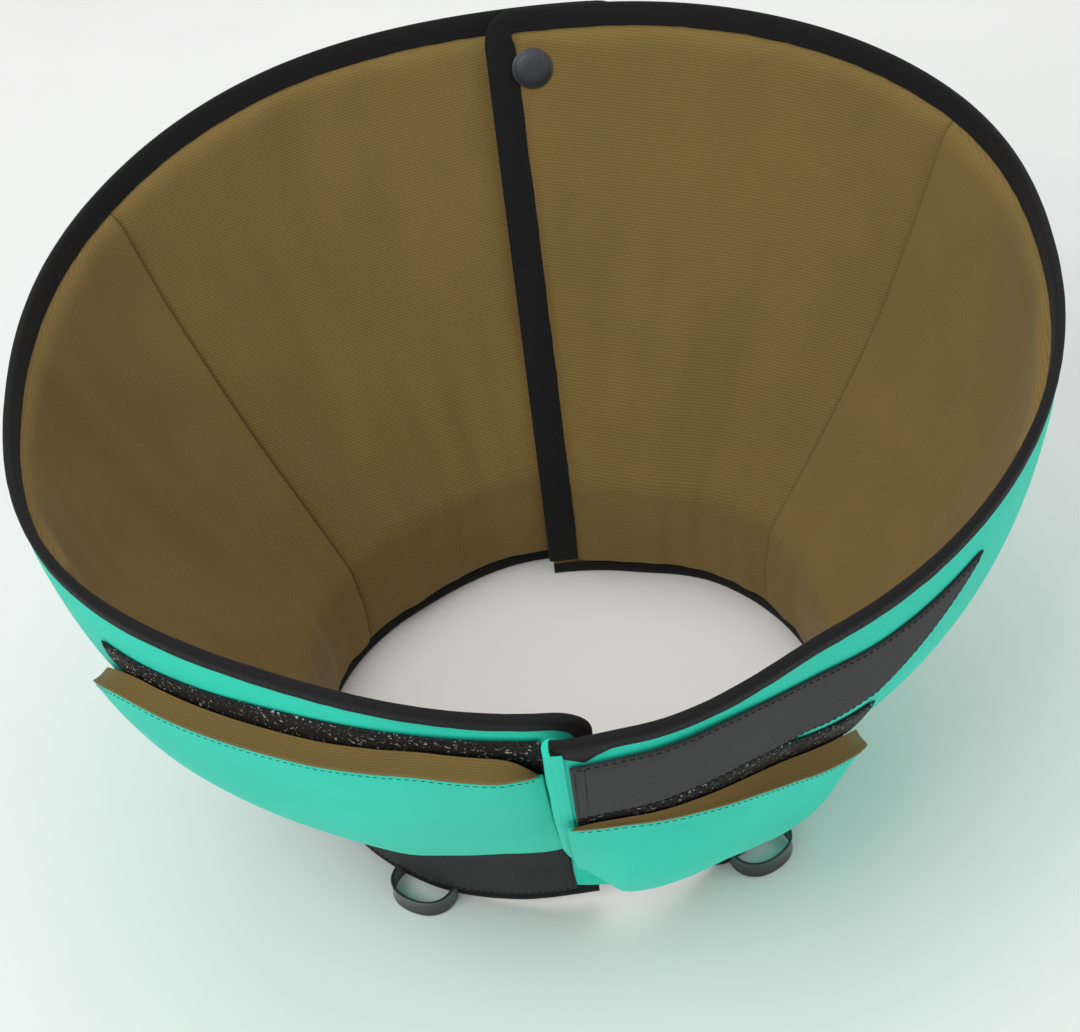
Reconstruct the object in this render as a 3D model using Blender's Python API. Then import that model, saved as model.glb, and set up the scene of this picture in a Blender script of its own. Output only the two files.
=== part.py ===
"""Soft recovery cone: a padded fabric cone with a collar, closed with tape at the front and a snap at the back.

Each half is a sheet of its own: it lies outside the other half on one side of the joint and inside it on the other.
Headings are degrees round the cone's axis: 0 is +X, 90 is the back and -90 is the front joint.
Drops are distances below the rim's edge, and offsets are distances outwards from the middle of the wall.
"""

import math
from functools import lru_cache

import bmesh
import bpy
from mathutils import Vector

MM = 0.001

# Cone
RIM_RADIUS = 170 * MM
CONE_DEPTH = 153 * MM
COLLAR_HEIGHT = 42 * MM
NECK_HALF_WIDTH = 94 * MM
NECK_HALF_DEPTH = 84 * MM
COLLAR_FLARE = 3 * MM
WALL_BULGE = 13 * MM

# Cloth
LINING_THICKNESS = 3.2 * MM
SHELL_THICKNESS = 1.5 * MM
GAP = 0.3 * MM
PANEL_GAP = 0.35 * MM

# Bindings
BINDING_THICKNESS = 1.2 * MM
BINDING_WIDTH = 8 * MM
NECK_BINDING_WIDTH = 5.5 * MM
CORNER_RADIUS = 10 * MM

# Tapes
STRAP_WIDTH = 37 * MM
STRAP_THICKNESS = 1.4 * MM
HOOK_WIDTH = 24 * MM
HOOK_THICKNESS = 1.2 * MM
TAPE_GAP = 0.8 * MM
TAPE_SPREAD = 10 * MM
TAPE_MARGIN = 1 * MM

# Flaps
FLAP_THICKNESS = 1.5 * MM
FLAP_FULLNESS = 14 * MM

# Snap
SNAP_RADIUS = 7.5 * MM
SNAP_HEIGHT = 2.6 * MM
SNAP_HEADING = 85.4
SNAP_DROP = 18 * MM

# Collar loops
LOOP_LENGTH = 22 * MM
LOOP_REACH = 11 * MM
LOOP_HEIGHT = 7 * MM
LOOP_THICKNESS = 1.6 * MM
LOOP_CLEARANCE = 1 * MM
LOOP_TURN = 6.5

WALL = LINING_THICKNESS + GAP + SHELL_THICKNESS
INNER_FACE = -WALL / 2
LINING_BACK = INNER_FACE + LINING_THICKNESS
SHELL_FRONT = LINING_BACK + GAP
OUTER_FACE = WALL / 2
BINDING_TIP = GAP + BINDING_THICKNESS
BOUND_HALF = WALL / 2 + BINDING_TIP
WALL_BOTTOM = CONE_DEPTH + COLLAR_HEIGHT
LAP_STEP = WALL + 2 * BINDING_THICKNESS + 4 * GAP
RIM_STEP = 8 * MM
HEADING_STEP = 6
LEAST_STEP = 0.1
LEAST_FLAP_STEP = 1
# The wall's facets are set out so that the snap sits in the middle of one
FIRST_LINE = SNAP_HEADING + HEADING_STEP / 2

# Plan of the cone, a row every 30 degrees: heading, rim radius and bulge as shares
HEADING, RIM, BULGE = range(3)
PLAN = (
    (-180, 0.974, 1.10),
    (-150, 1.012, 1.35),
    (-120, 0.983, 1.15),
    (-90, 1.017, 0.95),
    (-60, 0.998, 1.05),
    (-30, 0.982, 1.25),
    (0, 0.994, 1.10),
    (30, 1.057, 0.70),
    (60, 1.070, 0.40),
    (90, 1.032, 0.25),
    (120, 1.030, 0.30),
    (150, 0.992, 0.45),
)

# Rows of the wall, as shares of the cone's depth and then of the collar's height
CONE_ROWS = (0.0, 0.18, 0.36, 0.54, 0.72, 0.88, 1.0)
COLLAR_ROWS = (0.4, 1.0)
ROW_DROPS = [share * CONE_DEPTH for share in CONE_ROWS] + [
    CONE_DEPTH + share * COLLAR_HEIGHT for share in COLLAR_ROWS
]

# First and last heading of each half, which overlap at the back and at the front joint
LEFT_START, LEFT_STOP = 74, 271
RIGHT_START, RIGHT_STOP = -92.5, 90.7

# How each half lies: heading, lift outwards as a share of the lap step, and droop as a share of the rim step
LEFT_LAY = (
    (LEFT_START, 0.5, 0.3),
    (95, 0.5, 0.3),
    (130, 0.0, 0.0),
    (LEFT_STOP, 0.0, 0.0),
)
RIGHT_LAY = (
    (RIGHT_START, 1.0, 0.2),
    (-85, 1.0, 0.0),
    (-64, 0.0, 0.0),
    (45, 0.0, 0.0),
    (70, -0.5, -0.3),
    (RIGHT_STOP, -0.5, -0.3),
)
LAYS = {"left": LEFT_LAY, "right": RIGHT_LAY}
SEAMS = {"left": (147, 210), "right": (-30, 29)}
PANELS = {"left": ("back", "side", "front"), "right": ("front", "side", "back")}
# Ends of the halves whose top corner is rounded and bound: heading, and the way along the rim from it
ROUNDED = {"left": ((LEFT_START, 1), (LEFT_STOP, -1)), "right": ((RIGHT_STOP, -1),)}
CORNER_TURNS = (22.5, 45, 67.5, 90)
# How far the neck edge rises towards the front joint: heading, and a share of the collar's height
NECK_RISES = {
    "left": ((LEFT_START, 0.0), (228, 0.0), (252, 0.08), (LEFT_STOP, 0.17)),
    "right": (
        (RIGHT_START, 0.55),
        (-86, 0.52),
        (-76, 0.40),
        (-66, 0.19),
        (-57, 0.0),
        (RIGHT_STOP, 0.0),
    ),
}
# Where the neck binding starts and ends: the right half's front corner is a folded edge
NECK_BOUND = {"left": (LEFT_START, LEFT_STOP), "right": (-80.2, RIGHT_STOP)}

# Flaps: heading, lip as a drop share, and stand-off of the lip and the belly as shares of the fullness
LEFT_FLAP = (
    (205, 0.50, 0.00, 0.00),
    (210, 0.36, 0.22, 0.30),
    (216, 0.235, 0.36, 0.42),
    (222, 0.185, 0.42, 0.46),
    (231, 0.18, 0.44, 0.46),
    (243, 0.165, 0.44, 0.45),
    (250, 0.14, 0.44, 0.30),
    (256, 0.118, 0.44, 0.20),
    (264.5, 0.12, 0.40, 0.10),
    (266.5, 0.125, 0.05, 0.03),
)
RIGHT_FLAP = (
    (-92, 0.33, 0.02, 0.40),
    (-86, 0.34, 0.06, 0.70),
    (-80, 0.355, 0.16, 0.78),
    (-74, 0.39, 0.30, 0.88),
    (-68, 0.44, 0.40, 1.05),
    (-62, 0.49, 0.44, 1.10),
    (-56, 0.54, 0.42, 0.92),
    (-51, 0.61, 0.34, 0.50),
    (-47, 0.70, 0.00, 0.00),
)
FLAPS = {"left": LEFT_FLAP, "right": RIGHT_FLAP}
FACINGS = {"left": (207, 265.5), "right": (-88, -48)}
# Shape of a flap from its lip to its foot: height share, and weights of the lip, the belly and the tape below
FLAP_ROWS = (
    (0.0, 1.0, 0.0, 1.0),
    (0.2, 0.6, 0.4, 1.0),
    (0.4, 0.2, 0.85, 1.0),
    (0.6, 0.0, 1.0, 1.0),
    (0.8, 0.0, 0.85, 0.7),
    (0.93, 0.0, 0.4, 0.4),
    (1.0, 0.0, 0.0, 0.0),
)

# Tapes: first and last heading, the last being the lower corner's on the strap, whose end is cut at a slant
UPPER_HOOK_TAPE = (217, 265.5)
RIM_STRAP = (-91, -42, -55)
LOWER_HOOK_TAPE = (-91, -53)
NECK_STRAP = (184, 266)
# Top edges: heading and drop share. The lower hook tape's runs below the strap, by a share of the spread
UPPER_HOOK_TOPS = ((217, 0.125), (265.5, 0.055))
RIM_STRAP_TOPS = ((-91, 0.062), (-78, 0.054), (-66, 0.098), (-56, 0.118), (-42, 0.105))
LOWER_HOOK_TOPS = ((-91, 0.0), (-72, 0.0), (-62, 0.65), (-53, 1.0))

# Snap cap from its foot to its crown: shares of its radius and height
SNAP_PROFILE = (
    (0.0, 0.0),
    (1.0, 0.0),
    (1.0, 0.3),
    (0.88, 0.65),
    (0.6, 0.9),
    (0.0, 1.0),
)

# Collar loops: half and heading
LOOPS = (("left", 230), ("right", -50))
# Line of a loop from one end to its middle: share of its length to the side and of its reach outwards
LOOP_LINE = (
    (0.5, 0.0),
    (0.52, 0.3),
    (0.47, 0.62),
    (0.32, 0.87),
    (0.12, 0.98),
)

# Finishes: linear colour, roughness and metallic value
FINISHES = {
    "olive_lining": ((0.150, 0.107, 0.030), 0.75, 0.0),
    "teal_shell": ((0.038, 0.565, 0.402), 0.70, 0.0),
    "black_binding": ((0.012, 0.012, 0.013), 0.80, 0.0),
    "grey_loop_tape": ((0.052, 0.052, 0.053), 0.85, 0.0),
    "black_hook_tape": ((0.009, 0.009, 0.010), 0.65, 0.0),
    "black_snap": ((0.045, 0.050, 0.055), 0.40, 0.3),
    "black_ribbon": ((0.020, 0.020, 0.022), 0.35, 0.0),
}


def ease(share):
    """A share from 0 to 1, with a soft start and end."""
    share = min(max(share, 0.0), 1.0)
    return share * share * (3 - 2 * share)


def plan(column, heading):
    """A column of the plan at any heading, on one smooth closed curve."""
    place = (heading - PLAN[0][HEADING]) / (360 / len(PLAN))
    row = math.floor(place)
    t = place - row
    a, b, c, d = (PLAN[(row + step) % len(PLAN)][column] for step in (-1, 0, 1, 2))
    return b + 0.5 * t * (c - a + t * (2 * a - 5 * b + 4 * c - d + t * (3 * (b - c) + d - a)))


def row_value(rows, key, column):
    """A column of a table of rows at a key between them, eased from row to row."""
    for low, high in zip(rows, rows[1:]):
        if key <= high[0]:
            break
    return low[column] + (high[column] - low[column]) * ease((key - low[0]) / (high[0] - low[0]))


def neck_radius(heading):
    """Middle of the wall at the neck, which is an oval."""
    turn = math.radians(heading)
    across = NECK_HALF_DEPTH * math.cos(turn)
    along = NECK_HALF_WIDTH * math.sin(turn)
    return NECK_HALF_WIDTH * NECK_HALF_DEPTH / math.hypot(across, along)


def row_point(side, heading, drop):
    """Radius and height of the wall's middle at one of its rows."""
    share = min(drop / CONE_DEPTH, 1.0)
    down_collar = max(drop - CONE_DEPTH, 0.0) / COLLAR_HEIGHT
    flare = COLLAR_FLARE * max(1 - down_collar / COLLAR_ROWS[0], 0.0)
    rim = RIM_RADIUS * plan(RIM, heading)
    bulge = WALL_BULGE * plan(BULGE, heading) * math.sin(math.pi * share)
    lift = LAP_STEP * row_value(LAYS[side], heading, 1)
    droop = RIM_STEP * row_value(LAYS[side], heading, 2) * (1 - share)
    radius = rim + (neck_radius(heading) + flare - rim) * share + bulge + lift
    return radius, WALL_BOTTOM + BINDING_TIP - drop - droop


def middle(side, heading, drop):
    """A point on the middle of a half's wall, straight between its rows."""
    low, high = ROW_DROPS[0], ROW_DROPS[1]
    for below, above in zip(ROW_DROPS[1:], ROW_DROPS):
        low, high = above, below
        if drop <= below:
            break
    t = (drop - low) / (high - low)
    radius_a, height_a = row_point(side, heading, low)
    radius_b, height_b = row_point(side, heading, high)
    radius = radius_a + (radius_b - radius_a) * t
    turn = math.radians(heading)
    return Vector((radius * math.cos(turn), radius * math.sin(turn), height_a + (height_b - height_a) * t))


def outward(side, heading, drop):
    """The wall's outward direction."""
    turn, fall = 1.0, 4 * MM
    along = middle(side, heading + turn, drop) - middle(side, heading - turn, drop)
    down = middle(side, heading, drop + fall) - middle(side, heading, drop - fall)
    return down.cross(along).normalized()


@lru_cache(maxsize=None)
def frame_point(side, line, row):
    """Middle and outward direction where a facet line crosses a row."""
    heading = FIRST_LINE + line * HEADING_STEP
    return middle(side, heading, ROW_DROPS[row]), outward(side, heading, ROW_DROPS[row])


def place(side, heading, drop, offset):
    """A point at an offset from the middle of a half's wall, on the facets all its pieces share."""
    line = math.floor((heading - FIRST_LINE) / HEADING_STEP)
    across = (heading - FIRST_LINE) / HEADING_STEP - line
    row = max(k for k, start in enumerate(ROW_DROPS[:-1]) if start <= drop or k == 0)
    down = (drop - ROW_DROPS[row]) / (ROW_DROPS[row + 1] - ROW_DROPS[row])
    ends = []
    for k in (row, row + 1):
        (point_a, out_a), (point_b, out_b) = (frame_point(side, line + step, k) for step in (0, 1))
        ends.append((point_a + out_a * offset).lerp(point_b + out_b * offset, across))
    return ends[0] + (ends[1] - ends[0]) * down


def headings_between(first, last):
    """The facet lines that lie between two headings, with both ends."""
    start = math.floor((first - FIRST_LINE) / HEADING_STEP) + 1
    stop = math.ceil((last - FIRST_LINE) / HEADING_STEP)
    lines = [FIRST_LINE + k * HEADING_STEP for k in range(start, stop)]
    return thinned([first] + lines + [last])


def thinned(headings, least=LEAST_STEP):
    """Rising headings without those too near another. Both ends stay."""
    kept = [headings[0]]
    for heading in headings[1:-1]:
        if heading - kept[-1] > least and headings[-1] - heading > least:
            kept.append(heading)
    return kept + [headings[-1]]


def material(name):
    """The finish of that name."""
    if name in bpy.data.materials:
        return bpy.data.materials[name]
    color, roughness, metallic = FINISHES[name]
    made = bpy.data.materials.new(name)
    made.use_nodes = True
    shader = made.node_tree.nodes["Principled BSDF"]
    shader.inputs["Base Color"].default_value = (*color, 1.0)
    shader.inputs["Roughness"].default_value = roughness
    shader.inputs["Metallic"].default_value = metallic
    return made


def add_object(name, finish, body):
    """An object from a finished mesh."""
    bmesh.ops.recalc_face_normals(body, faces=body.faces)
    if body.calc_volume(signed=True) < 0:
        bmesh.ops.reverse_faces(body, faces=body.faces)
    mesh = bpy.data.meshes.new(name)
    body.to_mesh(mesh)
    body.free()
    mesh.materials.append(material(finish))
    made = bpy.data.objects.new(name, mesh)
    bpy.context.scene.collection.objects.link(made)
    return made


def sheet(name, finish, side, headings, shares, lay_out):
    """A closed sheet of cloth. lay_out gives the drop and offset of its inner and of its outer face."""
    columns, rows = len(headings) - 1, len(shares) - 1
    body = bmesh.new()
    bmesh.ops.create_grid(body, x_segments=columns, y_segments=rows, size=1.0)
    spot = body.verts.layers.int.new("spot")
    for vertex in body.verts:
        column = round((vertex.co.x + 1) / 2 * columns)
        row = round((vertex.co.y + 1) / 2 * rows)
        vertex[spot] = row * (columns + 1) + column
    made = bmesh.ops.extrude_face_region(body, geom=list(body.faces))
    outer = {item for item in made["geom"] if isinstance(item, bmesh.types.BMVert)}
    for vertex in body.verts:
        row, column = divmod(vertex[spot], columns + 1)
        faces = lay_out(headings[column], shares[row])
        drop, offset = faces[1] if vertex in outer else faces[0]
        vertex.co = place(side, headings[column], drop, offset)
    return add_object(name, finish, body)


def sweep(name, finish, sections):
    """A closed bar through a list of like sections, each a list of points."""
    body = bmesh.new()
    cap = body.faces.new([body.verts.new(point) for point in sections[0]])
    spot = body.verts.layers.int.new("spot")
    for number, vertex in enumerate(cap.verts):
        vertex[spot] = number
    for number, section in enumerate(sections[1:]):
        made = bmesh.ops.extrude_face_region(body, geom=[cap])
        if number:
            bmesh.ops.delete(body, geom=[cap], context="FACES_ONLY")
        cap = next(item for item in made["geom"] if isinstance(item, bmesh.types.BMFace))
        for vertex in cap.verts:
            vertex.co = section[vertex[spot]]
    return add_object(name, finish, body)


def corner_drop(side, heading):
    """Top edge of a half's wall, which rounds off at its bound ends."""
    run = min(abs(math.radians(heading - end)) * RIM_RADIUS for end, _ in ROUNDED[side])
    left_over = CORNER_RADIUS - min(run, CORNER_RADIUS)
    return CORNER_RADIUS - math.sqrt(CORNER_RADIUS**2 - left_over**2)


def neck_drop(side, heading):
    """Drop of a half's neck edge, which rises towards the front joint."""
    return WALL_BOTTOM - COLLAR_HEIGHT * row_value(NECK_RISES[side], heading, 1)


def half_headings(side, first, last):
    """The facet lines between two headings, with those of the rounded corners."""
    found = headings_between(first, last)
    for end, inwards in ROUNDED[side]:
        for turn in CORNER_TURNS:
            run = CORNER_RADIUS * (1 - math.cos(math.radians(turn)))
            heading = end + inwards * math.degrees(run / RIM_RADIUS)
            if first < heading < last:
                found.append(heading)
    return thinned(sorted(found))


def wall_layer(name, finish, side, first, last, inner, outer):
    """A layer of a half's wall from its top edge to the neck."""

    def lay_out(heading, drop):
        drop = min(max(drop, corner_drop(side, heading)), neck_drop(side, heading))
        return (drop, inner), (drop, outer)

    sheet(name, finish, side, half_headings(side, first, last), ROW_DROPS, lay_out)


def add_walls():
    """The padded lining panels and the outer shell of both halves."""
    half_gap = math.degrees(PANEL_GAP / 2 / NECK_HALF_DEPTH)
    for side, lay in LAYS.items():
        first, last = lay[0][HEADING], lay[-1][HEADING]
        seams = SEAMS[side]
        starts = [first] + [seam + half_gap for seam in seams]
        stops = [seam - half_gap for seam in seams] + [last]
        for panel, start, stop in zip(PANELS[side], starts, stops):
            wall_layer(f"lining_{side}_{panel}", "olive_lining", side, start, stop, INNER_FACE, LINING_BACK)
        wall_layer(f"shell_{side}", "teal_shell", side, first, last, SHELL_FRONT, OUTER_FACE)


def binding_section(side, heading, drop, along, width):
    """The folded tape round the wall's edge, as a section across the way the edge runs."""
    origin = place(side, heading, drop, 0)
    out = outward(side, heading, drop)
    edge = out.cross(along).normalized()
    inside = WALL / 2 + GAP
    leg = width - BINDING_TIP
    outline = (
        (-BOUND_HALF, -leg),
        (-BOUND_HALF, 0.0),
        (-BOUND_HALF / 2, BINDING_TIP),
        (BOUND_HALF / 2, BINDING_TIP),
        (BOUND_HALF, 0.0),
        (BOUND_HALF, -leg),
        (inside, -leg),
        (inside, GAP),
        (-inside, GAP),
        (-inside, -leg),
    )
    return [origin + out * across + edge * up for across, up in outline]


def add_binding(name, side, path, width):
    """A bound edge along a path of headings and drops."""
    points = [place(side, heading, drop, 0) for heading, drop in path]
    sections = []
    for number, (heading, drop) in enumerate(path):
        along = points[min(number + 1, len(path) - 1)] - points[max(number - 1, 0)]
        sections.append(binding_section(side, heading, drop, along, width))
    sweep(name, "black_binding", sections)


def add_bindings():
    """The tape bound round the rim and down the bound ends of each half, and round the neck."""
    for side, lay in LAYS.items():
        first, last = lay[0][HEADING], lay[-1][HEADING]
        path = [(heading, corner_drop(side, heading)) for heading in half_headings(side, first, last)]
        for end, inwards in ROUNDED[side]:
            foot = neck_drop(side, end) - NECK_BINDING_WIDTH - GAP
            edge = [(end, drop) for drop in (*ROW_DROPS[1:-1], foot)]
            path = edge[::-1] + path if inwards > 0 else path + edge
        add_binding(f"rim_binding_{side}", side, path, BINDING_WIDTH)
        neck = [(heading, neck_drop(side, heading)) for heading in headings_between(*NECK_BOUND[side])]
        add_binding(f"neck_binding_{side}", side, neck[::-1], NECK_BINDING_WIDTH)


def flap_headings(side):
    """The facet lines a flap lies on, with its ends and the lines next to them where it closes."""
    rows = FLAPS[side]
    lines = headings_between(rows[0][HEADING], rows[-1][HEADING])
    return thinned(sorted(lines + [rows[1][HEADING], rows[-2][HEADING]]), LEAST_FLAP_STEP)


def lip_drop(side, heading):
    """Drop of a flap's lip."""
    return CONE_DEPTH * row_value(FLAPS[side], heading, 1)


def flap_offset(side, heading, share):
    """Inner face of a flap at a share of its height."""
    lip = FLAP_FULLNESS * row_value(FLAPS[side], heading, 2)
    belly = FLAP_FULLNESS * row_value(FLAPS[side], heading, 3)
    over_tape = HOOK_THICKNESS + GAP
    stands = [row_value(FLAP_ROWS, share, column) for column in (1, 2, 3)]
    return OUTER_FACE + GAP + lip * stands[0] + belly * stands[1] + over_tape * stands[2]


def add_flap(side):
    """The full flap on a half's front."""

    def lay_out(heading, share):
        top = lip_drop(side, heading)
        drop = top + (CONE_DEPTH - top) * share
        offset = flap_offset(side, heading, share)
        return (drop, offset), (drop, offset + FLAP_THICKNESS)

    sheet(f"flap_{side}", "teal_shell", side, flap_headings(side), [row[0] for row in FLAP_ROWS], lay_out)


def add_facing(side):
    """The facing that runs from the hook tape out to a flap's lip."""
    inner = OUTER_FACE + HOOK_THICKNESS + 2 * GAP

    def lay_out(heading, share):
        lip = max(flap_offset(side, heading, 0) + FLAP_THICKNESS, inner + FLAP_THICKNESS)
        offset = inner + (lip - inner) * share
        bottom = lip_drop(side, heading) - GAP
        return (bottom, offset), (bottom - FLAP_THICKNESS, offset)

    first, last = FACINGS[side]
    headings = [heading for heading in flap_headings(side) if first < heading < last]
    sheet(f"flap_facing_{side}", "olive_lining", side, headings, (0, 0.5, 1), lay_out)


def upper_hook_top(heading):
    """Drop of the left hook tape's top edge."""
    return CONE_DEPTH * row_value(UPPER_HOOK_TOPS, heading, 1)


def strap_top(heading):
    """Drop of the rim strap's top edge."""
    return CONE_DEPTH * row_value(RIM_STRAP_TOPS, heading, 1)


def lower_hook_top(heading):
    """Drop of the right hook tape's top edge, which leaves the strap's lower edge towards its end."""
    below = TAPE_GAP + TAPE_SPREAD * row_value(LOWER_HOOK_TOPS, heading, 1)
    return strap_top(heading) + STRAP_WIDTH + below


def add_tape(name, side, ends, top_at, finish, width, thickness):
    """A flat tape sewn on a half's outer face, bent where it crosses a row of the wall."""
    headings = headings_between(*ends)
    tops = [top_at(heading) for heading in headings]
    lines = [drop for drop in ROW_DROPS if min(tops) + TAPE_MARGIN < drop < max(tops) + width - TAPE_MARGIN]
    count = len(lines)

    def lay_out(heading, row):
        top = top_at(heading)
        least = top + row * TAPE_MARGIN
        most = top + width - (count + 1 - row) * TAPE_MARGIN
        drop = (top, *(min(max(line, least), most) for line in lines), top + width)[row]
        return (drop, OUTER_FACE + GAP), (drop, OUTER_FACE + GAP + thickness)

    return sheet(name, finish, side, headings, range(count + 2), lay_out)


def cut_slanted(item, side, high, low):
    """Cuts a tape's last end off along the line between two spots of the wall, each a heading and a drop."""
    start, stop = (place(side, heading, drop, OUTER_FACE) for heading, drop in (high, low))
    beyond = outward(side, *high).cross(stop - start).normalized()
    body = bmesh.new()
    body.from_mesh(item.data)
    everything = [*body.verts, *body.edges, *body.faces]
    bmesh.ops.bisect_plane(body, geom=everything, plane_co=start, plane_no=beyond, clear_outer=True)
    bmesh.ops.holes_fill(body, edges=[edge for edge in body.edges if edge.is_boundary])
    bmesh.ops.recalc_face_normals(body, faces=body.faces)
    body.to_mesh(item.data)
    body.free()


def add_tapes():
    """The hook tapes and the ribbed rim strap on the outer face."""
    hook = ("black_hook_tape", HOOK_WIDTH, HOOK_THICKNESS)
    add_tape("hook_tape_left", "left", UPPER_HOOK_TAPE, upper_hook_top, *hook)
    add_tape("hook_tape_right", "right", LOWER_HOOK_TAPE, lower_hook_top, *hook)
    first, last, foot = RIM_STRAP
    loop = ("grey_loop_tape", STRAP_WIDTH, STRAP_THICKNESS)
    strap = add_tape("rim_strap", "right", (first, last), strap_top, *loop)
    cut_slanted(strap, "right", (last, strap_top(last)), (foot, strap_top(foot) + STRAP_WIDTH))


def add_neck_strap():
    """The loop tape that fills the left half's collar from the flap's foot to the neck binding."""

    def lay_out(heading, row):
        bottom = neck_drop("left", heading) - NECK_BINDING_WIDTH + BINDING_TIP - GAP
        drop = (CONE_DEPTH + 2 * GAP, ROW_DROPS[-2], bottom)[row]
        return (drop, OUTER_FACE + GAP), (drop, OUTER_FACE + GAP + STRAP_THICKNESS)

    sheet("neck_strap", "grey_loop_tape", "left", headings_between(*NECK_STRAP), range(3), lay_out)


def add_snap():
    """The domed cap of the snap on the right half's inner face."""
    turn, fall = 1.0, 4 * MM
    centre = place("right", SNAP_HEADING, SNAP_DROP, INNER_FACE)
    along = place("right", SNAP_HEADING + turn, SNAP_DROP, INNER_FACE) - centre
    down = place("right", SNAP_HEADING, SNAP_DROP + fall, INNER_FACE) - centre
    inwards = along.cross(down).normalized()
    sideways = along.normalized()
    body = bmesh.new()
    line = []
    for reach, height in SNAP_PROFILE:
        stand = GAP + SNAP_HEIGHT * height
        line.append(body.verts.new(centre + sideways * SNAP_RADIUS * reach + inwards * stand))
    edges = [body.edges.new(pair) for pair in zip(line, line[1:])]
    bmesh.ops.spin(
        body,
        geom=line + edges,
        cent=centre,
        axis=inwards,
        angle=math.tau,
        steps=24,
        use_merge=True,
    )
    bmesh.ops.remove_doubles(body, verts=body.verts, dist=0.01 * MM)
    add_object("snap_cap", "black_snap", body)


def add_loop(side, heading):
    """A ribbon loop that stands out from the neck binding."""
    low = LOOP_CLEARANCE
    ends = []
    for turn in (-LOOP_TURN, LOOP_TURN):
        point = place(side, heading + turn, WALL_BOTTOM, BOUND_HALF + GAP)
        ends.append(Vector((point.x, point.y, 0)))
    along = (ends[1] - ends[0]).normalized()
    out = along.cross(Vector((0, 0, 1)))
    centre = (ends[0] + ends[1]) / 2
    half_line = [(share * LOOP_LENGTH, reach * LOOP_REACH) for share, reach in LOOP_LINE]
    line = [(-x, y) for x, y in half_line] + half_line[::-1]
    sections = []
    for number, (x, y) in enumerate(line):
        before, after = line[max(number - 1, 0)], line[min(number + 1, len(line) - 1)]
        way = Vector((after[0] - before[0], after[1] - before[1])).normalized()
        if number in (0, len(line) - 1):
            way = Vector((0, 1 if number == 0 else -1))
        side_x, side_y = -way.y * LOOP_THICKNESS / 2, way.x * LOOP_THICKNESS / 2
        section = []
        for sign, height in ((1, 0), (-1, 0), (-1, LOOP_HEIGHT), (1, LOOP_HEIGHT)):
            flat = centre + along * (x + sign * side_x) + out * (y + sign * side_y)
            section.append(flat + Vector((0, 0, low + height)))
        sections.append(section)
    sweep(f"collar_loop_{side}", "black_ribbon", sections)


def centre_all():
    """Moves everything so that the outside box is centred over the origin."""
    objects = list(bpy.context.scene.collection.objects)
    points = [vertex.co for item in objects for vertex in item.data.vertices]
    middle_x = (min(point.x for point in points) + max(point.x for point in points)) / 2
    middle_y = (min(point.y for point in points) + max(point.y for point in points)) / 2
    for item in objects:
        for vertex in item.data.vertices:
            vertex.co.x -= middle_x
            vertex.co.y -= middle_y


for item in list(bpy.data.objects):
    bpy.data.objects.remove(item)
add_walls()
add_bindings()
for half in FLAPS:
    add_flap(half)
    add_facing(half)
add_tapes()
add_neck_strap()
add_snap()
for half, heading in LOOPS:
    add_loop(half, heading)
centre_all()
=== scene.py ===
"""Soft recovery cone, dressed: padded lining, teal shell and flaps, bound edges, tapes, snap and collar loops.

Headings are degrees round the cone's axis: 0 is +X, 90 is the back and -90 is the front joint.
Drops are distances below the rim's edge, and offsets are distances outwards from the middle of the wall.
"""

import math
import random
from functools import lru_cache

import bmesh
import bpy
from mathutils import Matrix, Vector, noise


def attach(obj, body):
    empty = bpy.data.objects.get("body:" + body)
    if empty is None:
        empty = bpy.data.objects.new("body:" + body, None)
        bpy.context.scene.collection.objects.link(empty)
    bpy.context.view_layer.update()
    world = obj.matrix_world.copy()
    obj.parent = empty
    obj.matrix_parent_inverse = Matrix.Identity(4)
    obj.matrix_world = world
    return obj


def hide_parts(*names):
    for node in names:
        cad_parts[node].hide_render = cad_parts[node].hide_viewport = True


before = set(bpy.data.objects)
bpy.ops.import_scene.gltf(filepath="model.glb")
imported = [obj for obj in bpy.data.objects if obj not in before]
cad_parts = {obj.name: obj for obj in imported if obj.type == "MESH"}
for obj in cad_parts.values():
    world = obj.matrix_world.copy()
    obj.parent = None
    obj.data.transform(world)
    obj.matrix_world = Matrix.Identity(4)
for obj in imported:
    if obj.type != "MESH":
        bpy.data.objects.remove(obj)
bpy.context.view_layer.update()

bl_info = {
    "name": "Soft recovery cone",
    "version": (1, 0, 0),
    "blender": (4, 5, 0),
    "location": "View3D > Sidebar > Recovery cone",
    "description": "Dresses the recovery cone with padding, cloth, bindings, tapes, stitches and a studio",
    "category": "Object",
}

MM = 0.001

# Cone
AXIS = Vector((-1.996, 0.846, 0)) * MM
RIM_RADIUS = 170 * MM
CONE_DEPTH = 153 * MM
COLLAR_HEIGHT = 42 * MM
NECK_HALF_WIDTH = 94 * MM
NECK_HALF_DEPTH = 84 * MM
COLLAR_FLARE = 3 * MM
FLARE_SHARE = 0.4
WALL_BULGE = 13 * MM
CORNER_RADIUS = 10 * MM

# Cloth
WALL = 5 * MM
LINING_THICKNESS = 3.2 * MM
SHELL_THICKNESS = 1.3 * MM
FLAP_THICKNESS = 1.3 * MM
FLAP_FULLNESS = 14 * MM
GAP = 0.3 * MM

# Bindings
BINDING_TIP = 1.5 * MM
RIM_LEG = 7.2 * MM
END_LEG = 9.8 * MM
OUTER_LEG = 4.2 * MM
NECK_LEG = 4 * MM
# Half of a binding's thickness towards the lining and towards the shell, which it pinches
INNER_HALF = 1.1 * MM
OUTER_HALF = 2.2 * MM
LINING_PINCH = 1.9 * MM
SHELL_PINCH = 0.8 * MM
BACK_PINCH = 0.4 * MM
PINCH_REACH = 6 * MM
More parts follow.
